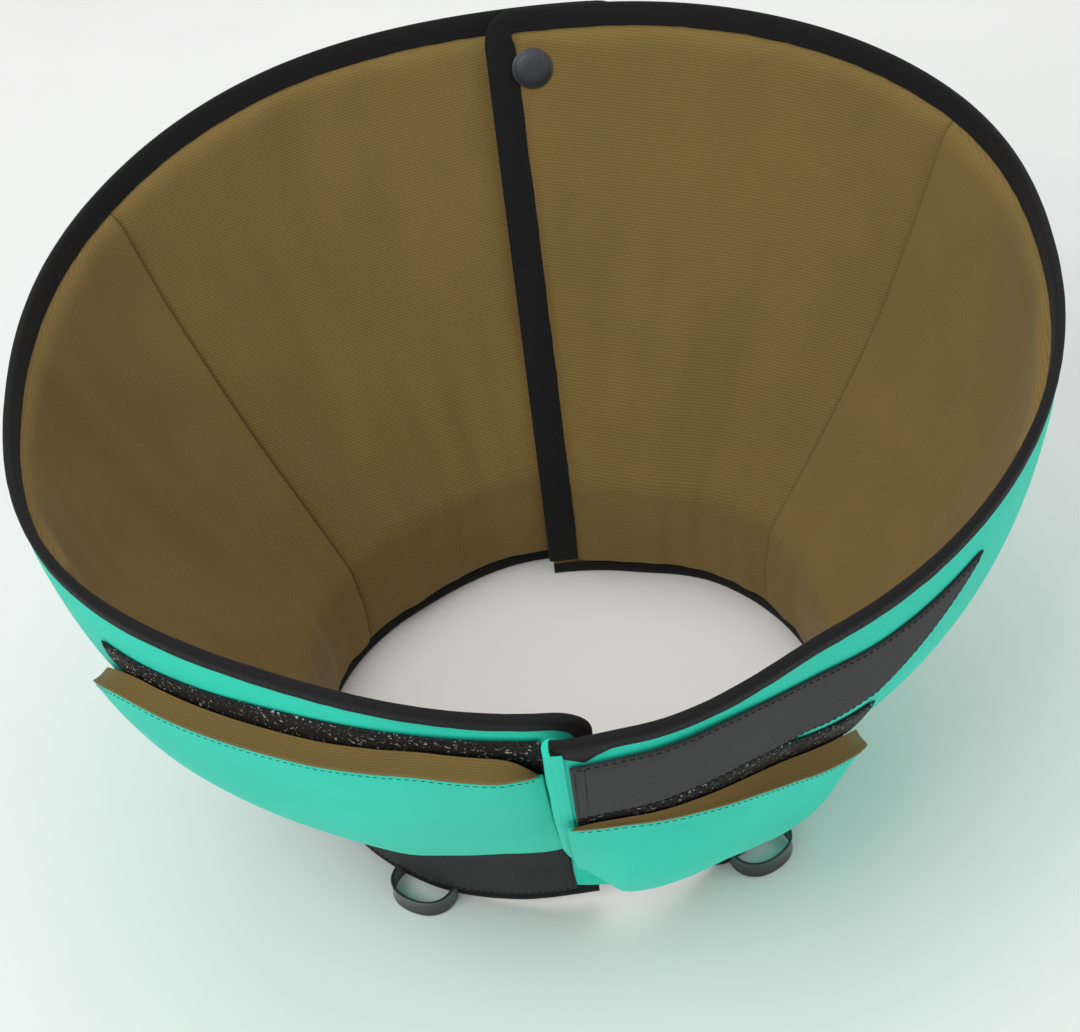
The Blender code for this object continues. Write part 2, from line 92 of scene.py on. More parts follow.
# How far past a binding's leg the pinched wall stays flat
LEG_MARGIN = 0.8 * MM

# Tapes
STRAP_WIDTH = 37 * MM
STRAP_THICKNESS = 1.4 * MM
HOOK_WIDTH = 24 * MM
HOOK_THICKNESS = 1.0 * MM
TAPE_GAP = 0.8 * MM
TAPE_SPREAD = 10 * MM

# Snap
SNAP_RADIUS = 7.5 * MM
SNAP_HEIGHT = 2.0 * MM
SNAP_HEADING = 85.4
SNAP_DROP = 18 * MM

# Collar loops
LOOP_LENGTH = 22 * MM
LOOP_REACH = 12.8 * MM
LOOP_HEIGHT = 7 * MM
LOOP_THICKNESS = 1.1 * MM
LOOP_CLEARANCE = 1 * MM
LOOP_TURN = 6.5
LOOPS = (("left", 230), ("right", -50))

INNER_FACE = -WALL / 2
OUTER_FACE = WALL / 2
LINING_BACK = INNER_FACE + LINING_THICKNESS
WALL_BOTTOM = CONE_DEPTH + COLLAR_HEIGHT
RIM_TOP = WALL_BOTTOM + BINDING_TIP
LAP_STEP = 8.6 * MM
RIM_STEP = 8 * MM

# Plan of the cone, a row every 30 degrees: heading, rim radius and bulge as shares
PLAN = (
    (-180, 0.974, 1.10),
    (-150, 1.012, 1.35),
    (-120, 0.983, 1.15),
    (-90, 1.017, 0.95),
    (-60, 0.998, 1.05),
    (-30, 0.982, 1.25),
    (0, 0.994, 1.10),
    (30, 1.057, 0.70),
    (60, 1.070, 0.40),
    (90, 1.032, 0.25),
    (120, 1.030, 0.30),
    (150, 0.992, 0.45),
)

# How each half lies: heading, lift outwards as a share of the lap step, and droop as a share of the rim step
LAYS = {
    "left": ((74, 0.5, 0.3), (95, 0.5, 0.3), (130, 0.0, 0.0), (271, 0.0, 0.0)),
    "right": (
        (-92.5, 1.0, 0.2),
        (-85, 1.0, 0.0),
        (-64, 0.0, 0.0),
        (45, 0.0, 0.0),
        (70, -0.5, -0.3),
        (90.7, -0.5, -0.3),
    ),
}
SEAMS = {"left": (147, 210), "right": (-30, 29)}
PANELS = {"left": ("back", "side", "front"), "right": ("front", "side", "back")}
ROUNDED = {"left": ((74, 1), (271, -1)), "right": ((90.7, -1),)}
# How far the neck edge rises towards the front joint: heading, and a share of the collar's height
NECK_RISES = {
    "left": ((74, 0.0), (228, 0.0), (252, 0.08), (271, 0.17)),
    "right": ((-92.5, 0.55), (-86, 0.52), (-76, 0.40), (-66, 0.19), (-57, 0.0), (90.7, 0.0)),
}
# Where the neck binding starts and ends: the right half's front corner is a folded edge
NECK_BOUND = {"left": (74, 271), "right": (-80.2, 90.7)}

# Flaps: heading, lip as a drop share, and stand-off of the lip and the belly as shares of the fullness
FLAPS = {
    "left": (
        (205, 0.50, 0.00, 0.00),
        (210, 0.36, 0.22, 0.30),
        (216, 0.235, 0.36, 0.42),
        (222, 0.185, 0.42, 0.46),
        (231, 0.18, 0.44, 0.46),
        (243, 0.165, 0.44, 0.45),
        (250, 0.14, 0.44, 0.30),
        (256, 0.118, 0.44, 0.20),
        (262, 0.12, 0.44, 0.12),
        (264.5, 0.132, 0.30, 0.08),
        (266.5, 0.160, 0.08, 0.03),
    ),
    "right": (
        (-92, 0.33, 0.02, 0.05),
        (-89, 0.335, 0.04, 0.35),
        (-86, 0.34, 0.06, 0.70),
        (-80, 0.355, 0.16, 0.78),
        (-74, 0.39, 0.30, 0.88),
        (-68, 0.44, 0.40, 1.05),
        (-62, 0.49, 0.44, 1.10),
        (-56, 0.54, 0.42, 0.92),
        (-51, 0.61, 0.34, 0.50),
        (-47, 0.70, 0.00, 0.00),
    ),
}
FACINGS = {"left": (207, 266), "right": (-91.6, -47.5)}
# How far from its ends a facing is at its full width, in degrees
FACING_ROUND = 3.5
# Shape of a flap from its lip to its foot: height share, and weights of the lip, the belly and the tape below
FLAP_ROWS = (
    (0.0, 1.0, 0.0, 1.0),
    (0.2, 0.6, 0.4, 1.0),
    (0.4, 0.2, 0.85, 1.0),
    (0.6, 0.0, 1.0, 1.0),
    (0.8, 0.0, 0.85, 0.7),
    (0.93, 0.0, 0.4, 0.4),
    (1.0, 0.0, 0.0, 0.0),
)

# Tapes: heading of the first end, and of the last end at its top and at its foot
UPPER_HOOK_TAPE = (217, 266.6, 266.6)
RIM_STRAP = (-91, -42, -55)
LOWER_HOOK_TAPE = (-91, -53, -53)
NECK_STRAP = (184, 266, 266)
# Top edges: heading and drop share. The lower hook tape's runs below the strap, by a share of the spread
UPPER_HOOK_TOPS = ((217, 0.125), (265.5, 0.055))
RIM_STRAP_TOPS = ((-91, 0.062), (-78, 0.054), (-66, 0.098), (-56, 0.118), (-42, 0.105))
LOWER_HOOK_TOPS = ((-91, 0.0), (-72, 0.0), (-62, 0.65), (-53, 1.0))
# Frayed end of the left hook tape: how deep its notch is in degrees, and where it lies and ends down the end
FRAY = (1.8, 0.6, 0.25)

# Line of a loop from one end to its middle: share of its length to the side and of its reach outwards
LOOP_LINE = ((0.5, 0.0), (0.52, 0.3), (0.47, 0.62), (0.32, 0.87), (0.12, 0.98))

# Snap cap from its foot to its crown: shares of its radius and height
SNAP_PROFILE = (
    (0.0, 0.0),
    (0.93, 0.0),
    (1.0, 0.10),
    (1.0, 0.26),
    (0.95, 0.36),
    (0.90, 0.38),
    (0.87, 0.46),
    (0.80, 0.66),
    (0.68, 0.82),
    (0.50, 0.93),
    (0.26, 0.99),
    (0.0, 1.0),
)

# A cone laid flat: how far it turns for each turn of the heading, and its radius there
FLAT_TURN = 0.47
FLAT_RADIUS = RIM_RADIUS / FLAT_TURN
SLANT = 1.13

# Camera: where it stands from the middle of the rim, and how it is turned
CAMERA_DISTANCE = 834.7 * MM
CAMERA_ELEVATION = 39.2
CAMERA_PAN = 0.23
CAMERA_TILT = -4.43
CAMERA_ROLL = 6.86
CAMERA_LENS = 86.667
CAMERA_SENSOR = 36

# Turns a distance from crest to crest into the scale of a wave texture
WAVE = math.pi / 10


def linear(text):
    """Linear colour of an sRGB hex value."""
    shares = [int(text[k : k + 2], 16) / 255 for k in (0, 2, 4)]
    return tuple(s / 12.92 if s <= 0.04045 else ((s + 0.055) / 1.055) ** 2.4 for s in shares)


class ConeSizes(bpy.types.PropertyGroup):
    """Sizes of the soft forms and of the stitches."""

    swell: bpy.props.FloatProperty(
        name="Padding swell",
        description="How far the padding stands proud between its seams",
        default=1.6 * MM,
        min=0.0,
        max=5 * MM,
        unit="LENGTH",
    )
    seam_depth: bpy.props.FloatProperty(
        name="Seam depth",
        description="How far a seam pulls the lining in",
        default=1.8 * MM,
        min=0.0,
        max=3 * MM,
        unit="LENGTH",
    )
    wrinkle: bpy.props.FloatProperty(
        name="Wrinkle depth",
        description="How deep the soft wrinkles of the lining are",
        default=2.0 * MM,
        min=0.0,
        max=4 * MM,
        unit="LENGTH",
    )
    stitch: bpy.props.FloatProperty(
        name="Stitch length",
        description="Length of one stitch on the bindings and tapes",
        default=1.7 * MM,
        min=0.5 * MM,
        max=6 * MM,
        unit="LENGTH",
    )
    stitch_gap: bpy.props.FloatProperty(
        name="Stitch gap",
        description="Distance between two stitches of a row",
        default=0.8 * MM,
        min=0.1 * MM,
        max=4 * MM,
        unit="LENGTH",
    )
    thread: bpy.props.FloatProperty(
        name="Thread width",
        description="Width of the sewing thread",
        default=0.36 * MM,
        min=0.1 * MM,
        max=2 * MM,
        unit="LENGTH",
    )
    rib: bpy.props.FloatProperty(
        name="Lining rib",
        description="Distance from rib to rib of the lining's weave",
        default=1.1 * MM,
        min=0.2 * MM,
        max=5 * MM,
        unit="LENGTH",
    )


class ConeColors(bpy.types.PropertyGroup):
    """Colours of the cloths, tapes and trims."""

    lining: bpy.props.FloatVectorProperty(
        name="Lining",
        description="Olive of the padded lining",
        default=linear("826b3a"),
        subtype="COLOR",
        min=0.0,
        max=1.0,
    )
    shell: bpy.props.FloatVectorProperty(
        name="Shell",
        description="Teal of the outer shell and the flaps",
        default=linear("26d4b8"),
        subtype="COLOR",
        min=0.0,
        max=1.0,
    )
    binding: bpy.props.FloatVectorProperty(
        name="Binding",
        description="Black of the binding tape",
        default=linear("131315"),
        subtype="COLOR",
        min=0.0,
        max=1.0,
    )
    loop_tape: bpy.props.FloatVectorProperty(
        name="Loop tape",
        description="Dark grey of the ribbed loop tape",
        default=linear("3a3a3b"),
        subtype="COLOR",
        min=0.0,
        max=1.0,
    )
    hook_tape: bpy.props.FloatVectorProperty(
        name="Hook tape",
        description="Black of the hook tape",
        default=linear("161617"),
        subtype="COLOR",
        min=0.0,
        max=1.0,
    )
    ribbon: bpy.props.FloatVectorProperty(
        name="Ribbon",
        description="Black of the collar loops",
        default=linear("202023"),
        subtype="COLOR",
        min=0.0,
        max=1.0,
    )
    snap: bpy.props.FloatVectorProperty(
        name="Snap",
        description="Slate of the snap's cap",
        default=linear("2e3135"),
        subtype="COLOR",
        min=0.0,
        max=1.0,
    )
    floor: bpy.props.FloatVectorProperty(
        name="Floor",
        description="Pale tone of the studio floor",
        default=linear("f2f2f1"),
        subtype="COLOR",
        min=0.0,
        max=1.0,
    )


def sizes():
    """The sizes as they are set."""
    return bpy.context.scene.cone_sizes


def colors():
    """The colours as they are set."""
    return bpy.context.scene.cone_colors


# Wall


def plan(column, heading):
    """A column of the plan at any heading, on one smooth closed curve."""
    spot = (heading - PLAN[0][0]) / (360 / len(PLAN))
    row = math.floor(spot)
    t = spot - row
    a, b, c, d = (PLAN[(row + step) % len(PLAN)][column] for step in (-1, 0, 1, 2))
    return b + 0.5 * t * (c - a + t * (2 * a - 5 * b + 4 * c - d + t * (3 * (b - c) + d - a)))


def slope(rows, index, column):
    """Steepness at one row of a table, so that the curve through the rows doesn't overshoot."""
    if index in (0, len(rows) - 1):
        return 0.0
    before = (rows[index][column] - rows[index - 1][column]) / (rows[index][0] - rows[index - 1][0])
    after = (rows[index + 1][column] - rows[index][column]) / (rows[index + 1][0] - rows[index][0])
    if before * after <= 0:
        return 0.0
    return 2 * before * after / (before + after)


def row_value(rows, key, column):
    """A column of a table of rows at a key between them, on a smooth curve."""
    index = next((k for k in range(1, len(rows)) if key <= rows[k][0]), len(rows) - 1)
    low, high = rows[index - 1], rows[index]
    step = high[0] - low[0]
    t = min(max((key - low[0]) / step, 0.0), 1.0)
    rise = slope(rows, index - 1, column) * step * t * (1 - t) ** 2
    fall = slope(rows, index, column) * step * t * t * (1 - t)
    return low[column] + (high[column] - low[column]) * ease(t) + rise - fall


def ease(share):
    """A share from 0 to 1, with a soft start and end."""
    share = min(max(share, 0.0), 1.0)
    return share * share * (3 - 2 * share)


def shoulder(distance, reach):
    """How full padding is at a distance from a sewn edge, from 0 to 1, as a round shoulder."""
    share = min(max(distance / reach, 0.0), 1.0)
    return math.sqrt(share * (2 - share))


def neck_radius(heading):
    """Middle of the wall at the neck, which is an oval."""
    turn = math.radians(heading)
    across = NECK_HALF_DEPTH * math.cos(turn)
    along = NECK_HALF_WIDTH * math.sin(turn)
    return NECK_HALF_WIDTH * NECK_HALF_DEPTH / math.hypot(across, along)


@lru_cache(maxsize=None)
def middle(side, heading, drop):
    """A point on the middle of a half's wall."""
    share = min(drop / CONE_DEPTH, 1.0)
    down_collar = max(drop - CONE_DEPTH, 0.0) / COLLAR_HEIGHT
    flare = COLLAR_FLARE * max(1 - down_collar / FLARE_SHARE, 0.0)
    rim = RIM_RADIUS * plan(1, heading)
    bulge = WALL_BULGE * plan(2, heading) * math.sin(math.pi * share)
    lift = LAP_STEP * row_value(LAYS[side], heading, 1)
    droop = RIM_STEP * row_value(LAYS[side], heading, 2) * (1 - share)
    radius = rim + (neck_radius(heading) + flare - rim) * share + bulge + lift
    turn = math.radians(heading)
    return AXIS + Vector((radius * math.cos(turn), radius * math.sin(turn), RIM_TOP - drop - droop))


@lru_cache(maxsize=None)
def outward(side, heading, drop):
    """The wall's outward direction."""
    turn, fall = 1.0, 3 * MM
    along = middle(side, heading + turn, drop) - middle(side, heading - turn, drop)
    down = middle(side, heading, drop + fall) - middle(side, heading, drop - fall)
    return down.cross(along).normalized()


def place(side, heading, drop, offset):
    """A point at an offset from the middle of a half's wall."""
    return middle(side, heading, drop) + outward(side, heading, drop) * offset


def thread_spot(heading, drop, centre):
    """Where a point of the wall lies on its flat cloth, in metres along the weave's two ways."""
    turn = math.radians(heading - centre) * FLAT_TURN
    reach = FLAT_RADIUS - drop * SLANT
    return Vector((reach * math.sin(turn), reach * math.cos(turn)))


def corner_drop(side, heading):
    """Top edge of a half's wall, which rounds off at its bound ends."""
    run = min(abs(math.radians(heading - end)) * RIM_RADIUS for end, _ in ROUNDED[side])
    left_over = CORNER_RADIUS - min(run, CORNER_RADIUS)
    return CORNER_RADIUS - math.sqrt(CORNER_RADIUS**2 - left_over**2)


def neck_drop(side, heading):
    """Drop of a half's neck edge, which rises towards the front joint."""
    return WALL_BOTTOM - COLLAR_HEIGHT * row_value(NECK_RISES[side], heading, 1)


def end_leg(side):
    """Inner leg of the binding down a half's bound end."""
    return END_LEG if side == "right" else RIM_LEG


def pinch(side, heading, drop):
    """How much a binding pinches the wall, from 0 to 1 under its legs."""
    along = math.radians(1) * middle(side, heading, drop).to_2d().length
    depths = [abs(heading - end) * along - end_leg(side) - LEG_MARGIN for end, _ in ROUNDED[side]]
    depths.append(drop - corner_drop(side, heading) - RIM_LEG)
    if heading > NECK_BOUND[side][0] - 1:
        depths.append(neck_drop(side, heading) - drop - NECK_LEG)
    return 1 - shoulder(min(depths), PINCH_REACH)


def even(first, last, step):
    """Values from first to last, at about a step's distance."""
    count = max(round(abs(last - first) / step), 1)
    return [first + (last - first) * k / count for k in range(count + 1)]


def edged(first, last, step, fine):
    """Even values with finer ones, at the distances given, beside both ends."""
    inner = even(first + fine[-1], last - fine[-1], step)
    return [first + f for f in fine[:-1]] + inner + [last - f for f in reversed(fine[:-1])]


# Meshes

STITCHES_AT_ONCE = 80


def grid_spot(vertex, columns, rows):
    """Column and row of a vertex of a fresh grid."""
    return round((vertex.co.x + 1) / 2 * columns), round((vertex.co.y + 1) / 2 * rows)


def cloth_body(columns, rows, point_at, thread_at):
    """A closed sheet. point_at gives the place of a column and row on layer 0, its face, and 1, its back."""
    body = bmesh.new()
    bmesh.ops.create_grid(body, x_segments=columns, y_segments=rows, size=1.0)
    thread = body.loops.layers.uv.new("thread")
    spot = body.verts.layers.int.new("spot")
    for vertex in body.verts:
        column, row = grid_spot(vertex, columns, rows)
        vertex[spot] = row * (columns + 1) + column
    for face in body.faces:
        for corner in face.loops:
            row, column = divmod(corner.vert[spot], columns + 1)
            corner[thread].uv = thread_at(column, row)
    made = bmesh.ops.extrude_face_region(body, geom=list(body.faces))
    back = {item for item in made["geom"] if isinstance(item, bmesh.types.BMVert)}
    for vertex in body.verts:
        row, column = divmod(vertex[spot], columns + 1)
        vertex.co = point_at(column, row, 1 if vertex in back else 0)
    face_outwards(body)
    return body


def tube_body(sections, threads):
    """A closed bar through like sections, each a ring of points, with the weave's place of each point."""
    columns, rows = len(sections) - 1, len(sections[0])
    body = bmesh.new()
    bmesh.ops.create_grid(body, x_segments=columns, y_segments=rows, size=1.0)
    thread = body.loops.layers.uv.new("thread")
    spots = {vertex: grid_spot(vertex, columns, rows) for vertex in body.verts}
    for face in body.faces:
        for corner in face.loops:
            column, row = spots[corner.vert]
            corner[thread].uv = threads[column][row]
    for vertex, (column, row) in spots.items():
        vertex.co = sections[column][row % rows]
    bmesh.ops.remove_doubles(body, verts=body.verts, dist=0.001 * MM)
    bmesh.ops.holes_fill(body, edges=[edge for edge in body.edges if edge.is_boundary])
    face_outwards(body)
    return body


def face_outwards(body):
    """Turns a closed body's faces outwards."""
    bmesh.ops.recalc_face_normals(body, faces=body.faces)
    if body.calc_volume(signed=True) < 0:
        bmesh.ops.reverse_faces(body, faces=body.faces)


def add_piece(name, body, finish, slot, nodes=(), sharp=50):
    """A piece of the cone from a finished mesh, standing for the nodes named."""
    mesh = bpy.data.meshes.new(name)
    body.to_mesh(mesh)
    body.free()
    mesh.shade_smooth()
    mesh.set_sharp_from_angle(angle=math.radians(sharp))
    mesh.materials.append(finish)
    piece = bpy.data.objects.new(name, mesh)
    bpy.context.scene.collection.objects.link(piece)
    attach(piece, "root")
    if nodes:
        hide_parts(*nodes)
    return piece


def round_edges(piece, width):
    """Rounds the cut edges of a sheet."""
    bevel = piece.modifiers.new("round_edges", "BEVEL")
    bevel.width = width
    bevel.segments = 2
    bevel.limit_method = "ANGLE"
    bevel.angle_limit = math.radians(50)


def stitch_line(line):
    """Middles, ways and normals of the stitches along a line of points with their normals."""
    pitch = sizes().stitch + sizes().stitch_gap
    found, left_over = [], pitch / 2
    for (start, normal), (stop, after) in zip(line, line[1:]):
        length = (stop - start).length
        while left_over <= length and length > 0:
            t = left_over / length
            found.append((start.lerp(stop, t), (stop - start).normalized(), normal.lerp(after, t).normalized()))
            left_over += pitch
        left_over -= length
    return found


def add_stitches(name, lines, finish, slot):
    """Rows of sewn stitches, each a small bead of thread that sinks at both ends."""
    body = bmesh.new()
    half, wide = sizes().stitch / 2, sizes().thread / 2
    spots = [spot for line in lines for spot in stitch_line(line)]
    for start in range(0, len(spots), STITCHES_AT_ONCE):
        row = bmesh.new()
        for centre, way, normal in spots[start : start + STITCHES_AT_ONCE]:
            aside = normal.cross(way).normalized()
            up = way.cross(aside)
            turn = Matrix((aside * wide, way * half, up * wide)).transposed().to_4x4()
            turn.translation = centre
            bmesh.ops.create_uvsphere(row, u_segments=6, v_segments=4, radius=1.0, matrix=turn)
        bmesh.ops.recalc_face_normals(row, faces=row.faces)
        mesh = bpy.data.meshes.new(name)
        row.to_mesh(mesh)
        row.free()
        body.from_mesh(mesh)
        bpy.data.meshes.remove(mesh)
    return add_piece(name, body, finish, slot, sharp=180)


# Finishes


def add_node(tree, kind, inputs=(), **settings):
    """A node with its settings, whose inputs are set to values or linked to other nodes' outputs."""
    node = tree.nodes.new(kind)
    for key, value in settings.items():
        setattr(node, key, value)
    for socket, value in dict(inputs).items():
        if isinstance(value, bpy.types.NodeSocket):
            tree.links.new(value, node.inputs[socket])
        else:
            node.inputs[socket].default_value = value
    return node


def new_finish(name, **values):
    """A material with a Principled shader, with values on its own sockets."""
    finish = bpy.data.materials.new(name)
    finish.use_nodes = True
    shader = finish.node_tree.nodes["Principled BSDF"]
    for socket, value in values.items():
        shader.inputs[socket.replace("_", " ")].default_value = value
    return finish, finish.node_tree, shader


def shade(color, factor):
    """A colour made lighter or darker, as a socket takes it."""
    return (*(min(share * factor, 1.0) for share in color), 1.0)


def weave(tree, shader, color, ribs, crosses, depth, valley_shade, mottle, turn=0.0, slub=1.5):
    """Threads in two ways with their own relief, painted shade in the valleys between them, over a slow change
    of tone.
    """
    cloth = add_node(tree, "ShaderNodeUVMap", uv_map="thread")
    turned = add_node(
        tree, "ShaderNodeMapping", {"Vector": cloth.outputs["UV"], "Rotation": (0, 0, turn)}
    )
    vector = turned.outputs["Vector"]
    rib = add_node(
        tree,
        "ShaderNodeTexWave",
        {"Vector": vector, "Scale": WAVE / ribs, "Distortion": slub, "Detail": 1.0, "Detail Scale": 2.0},
        bands_direction="Y",
    )
    cross = add_node(
        tree,
        "ShaderNodeTexWave",
        {"Vector": vector, "Scale": WAVE / crosses, "Distortion": slub, "Detail": 1.0, "Detail Scale": 2.0},
        bands_direction="X",
    )
    height = add_node(
        tree,
        "ShaderNodeMix",
        {"Factor": 0.35, "A": rib.outputs["Fac"], "B": cross.outputs["Fac"]},
        data_type="FLOAT",
    )
    where = add_node(tree, "ShaderNodeTexCoord")
    tone = add_node(
        tree,
        "ShaderNodeTexNoise",
        {"Vector": where.outputs["Object"], "Scale": 1 / mottle, "Detail": 3.0, "Roughness": 0.6},
    )
    slow = add_node(
        tree,
        "ShaderNodeMix",
        {"Factor": tone.outputs["Fac"], "A": shade(color, 0.86), "B": shade(color, 1.14)},
        data_type="RGBA",
    )
    # Painted shade: the valleys between the threads are darkened by this share, standing in for the shade that
    # falls there.
    dark = add_node(
        tree,
        "ShaderNodeMix",
        {"Factor": 1.0, "A": slow.outputs[2], "B": shade((1, 1, 1), 1 - valley_shade)},
        data_type="RGBA",
        blend_type="MULTIPLY",
    )
    threads = add_node(
        tree,
        "ShaderNodeMix",
        {"Factor": height.outputs["Result"], "A": dark.outputs[2], "B": slow.outputs[2]},
        data_type="RGBA",
    )
    bump = add_node(
        tree, "ShaderNodeBump", {"Height": height.outputs["Result"], "Distance": depth, "Strength": 1.0}
    )
    tree.links.new(bump.outputs["Normal"], shader.inputs["Normal"])
    tree.links.new(threads.outputs[2], shader.inputs["Base Color"])
    return threads.outputs[2], height.outputs["Result"]


def cached(make):
    """Makes a finish once and hands out the same one after that."""

    def finish():
        name = make.__name__
        return bpy.data.materials[name] if name in bpy.data.materials else make()

    return finish


@cached
def ribbed_nylon_lining():
    # Plain-woven nylon with heavier crosswise yarns: a matt olive ground with fine ribs and a faint bloom.
    # The real ribs are about half a millimetre apart, and are drawn twice as coarse so that they show.
    finish, tree, shader = new_finish(
        "ribbed_nylon_lining", Roughness=0.78, Sheen_Weight=0.06, Specular_IOR_Level=0.2
    )
    weave(tree, shader, colors().lining, sizes().rib, sizes().rib * 0.6, 0.1 * MM, 0.26, 45 * MM)
    return finish


@cached
def smooth_polyester_shell():
    # Tightly woven and calendered polyester: flat, even teal with a soft satin light and hardly any grain.
    finish, tree, shader = new_finish(
        "smooth_polyester_shell", Roughness=0.62, Sheen_Weight=0.02, Specular_IOR_Level=0.22
    )
    weave(tree, shader, colors().shell, 0.7 * MM, 0.7 * MM, 0.02 * MM, 0.05, 60 * MM)
    return finish


@cached
def woven_polyester_binding():
    # Black polyester tape folded over the edge: a fine slanted twill.
    finish, tree, shader = new_finish(
        "woven_polyester_binding", Roughness=0.8, Sheen_Weight=0.03, Specular_IOR_Level=0.25
    )
    weave(tree, shader, colors().binding, 0.8 * MM, 1.2 * MM, 0.05 * MM, 0.35, 20 * MM, math.radians(40))
    return finish


@cached
def woven_loop_tape():
    # Woven polyester loop tape: dark grey, with a cord across it at every weft and a short brushed pile.
    finish, tree, shader = new_finish(
        "woven_loop_tape", Roughness=0.85, Sheen_Weight=0.06, Specular_IOR_Level=0.25
    )
    weave(tree, shader, colors().loop_tape, 0.9 * MM, 1.5 * MM, 0.16 * MM, 0.5, 15 * MM)
    return finish


@cached
def moulded_hook_tape():
    # Nylon hook tape: black and bristly, with lint caught in it as pale specks.
    finish, tree, shader = new_finish("moulded_hook_tape", Roughness=0.6, Specular_IOR_Level=0.25)
    ground, _ = weave(tree, shader, colors().hook_tape, 1.2 * MM, 1.2 * MM, 0.2 * MM, 0.5, 10 * MM)
    where = add_node(tree, "ShaderNodeTexCoord")
    lint = add_node(
        tree,
        "ShaderNodeTexNoise",
        {"Vector": where.outputs["Object"], "Scale": 1 / (1.3 * MM), "Detail": 2.0, "Roughness": 0.7},
    )
    specks = add_node(
        tree,
        "ShaderNodeMapRange",
        {"Value": lint.outputs["Fac"], "From Min": 0.62, "From Max": 0.68},
    )
    dusty = add_node(
        tree,
        "ShaderNodeMix",
        {"Factor": specks.outputs["Result"], "A": ground, "B": shade(linear("b4b4b0"), 1.0)},
        data_type="RGBA",
    )
    tree.links.new(dusty.outputs[2], shader.inputs["Base Color"])
    return finish


@cached
def satin_ribbon():
    # Satin-woven ribbon: long floating threads give a bright, silky light on a black ground.
    finish, tree, shader = new_finish(
        "satin_ribbon", Roughness=0.34, Sheen_Weight=0.2, Anisotropic=0.5, Specular_IOR_Level=0.7
    )
    weave(tree, shader, colors().ribbon, 0.6 * MM, 1.0 * MM, 0.03 * MM, 0.2, 12 * MM)
    return finish


@cached
def spun_sewing_thread():
    # Spun polyester thread: black, twisted, duller than the tape it is sewn through.
    finish, tree, shader = new_finish("spun_sewing_thread", Roughness=0.8, Specular_IOR_Level=0.25)
    where = add_node(tree, "ShaderNodeTexCoord")
    twist = add_node(
        tree,
        "ShaderNodeTexNoise",
        {"Vector": where.outputs["Object"], "Scale": 1 / (0.8 * MM), "Detail": 2.0},
    )
    tone = add_node(
        tree,
        "ShaderNodeMix",
        {
            "Factor": twist.outputs["Fac"],
            "A": shade(colors().binding, 0.6),
            "B": shade(colors().binding, 1.8),
        },
        data_type="RGBA",
    )
    tree.links.new(tone.outputs[2], shader.inputs["Base Color"])
    return finish


@cached
def grained_snap_cap():
    # Moulded acetal cap with an eroded grain: dark slate with a soft, speckled light.
    finish, tree, shader = new_finish("grained_snap_cap", Roughness=0.42, Metallic=0.15)
    where = add_node(tree, "ShaderNodeTexCoord")
    grain = add_node(
        tree,
        "ShaderNodeTexNoise",
        {"Vector": where.outputs["Object"], "Scale": 1 / (0.45 * MM), "Detail": 3.0, "Roughness": 0.7},
    )
    tone = add_node(
        tree,
        "ShaderNodeMix",
        {"Factor": grain.outputs["Fac"], "A": shade(colors().snap, 0.35), "B": shade(colors().snap, 1.9)},
        data_type="RGBA",
    )
    bump = add_node(
        tree, "ShaderNodeBump", {"Height": grain.outputs["Fac"], "Distance": 0.08 * MM, "Strength": 0.8}
    )
    tree.links.new(tone.outputs[2], shader.inputs["Base Color"])
    tree.links.new(bump.outputs["Normal"], shader.inputs["Normal"])
    return finish


@cached
def matt_studio_floor():
    # Rolled matt paper: pale and even, with a barely seen tooth.
    finish, tree, shader = new_finish("matt_studio_floor", Roughness=0.95, Specular_IOR_Level=0.1)
    where = add_node(tree, "ShaderNodeTexCoord")
    tooth = add_node(
        tree,
        "ShaderNodeTexNoise",
        {"Vector": where.outputs["Object"], "Scale": 1 / (60 * MM), "Detail": 2.0},
    )
    tone = add_node(
        tree,
        "ShaderNodeMix",
        {"Factor": tooth.outputs["Fac"], "A": shade(colors().floor, 0.985), "B": shade(colors().floor, 1.015)},
        data_type="RGBA",
    )
    tree.links.new(tone.outputs[2], shader.inputs["Base Color"])
    return finish


# Lining and shell

# Distances from a seam at which the lining has a column, in degrees, and from the rim a row, in metres
SEAM_COLUMNS = (0.0, 0.25, 0.6, 1.1, 1.8, 2.8, 4.0)
BOUND_COLUMNS = tuple(0.4 * k for k in range(21))
EDGE_ROWS = tuple(distance * MM for distance in (0, 4, 6.9, 7.4, 8.2, 9.4, 11.2, 13.5))
# Reach of the shoulder beside a seam: short where a panel's folded edge lies on top, long where it dips under
UPPER_REACH = 3 * MM
UNDER_REACH = 15 * MM
BOUND_REACH = 9 * MM
# The folded front edge: how far it rounds past the cloth, its legs inside and outside, and its top's drop
FOLD_ROUND = 2.4 * MM
FOLD_LEGS = (1.5 * MM, 3.5 * MM)
FOLD_START = 2 * MM
# Panels whose folded edge lies over their neighbours'
TOP_PANELS = ("side",)

# Gathers above the snap: shift along the rim at the binding and at the cap, and depth
SNAP_GATHERS = (
    (-4.6 * MM, -2.4 * MM, 0.45 * MM),
    (-2.6 * MM, -1.2 * MM, 0.3 * MM),
    (1.2 * MM, 0.8 * MM, 0.6 * MM),
    (7.4 * MM, 3.6 * MM, 0.6 * MM),
)
GATHER_WIDTH = 0.8 * MM
# How deep the snap presses the lining in, and how far round the cap it is drawn in
SNAP_SEAT = 0.3 * MM
SNAP_SEAT_REACH = 7 * MM
# A soft crease below the snap: where it starts and ends, as shifts along the rim and drops
SNAP_CREASE = ((5.5 * MM, 24 * MM), (10 * MM, 38 * MM))
CREASE_WIDTH = 2.2 * MM
CREASE_DEPTH = 0.9 * MM


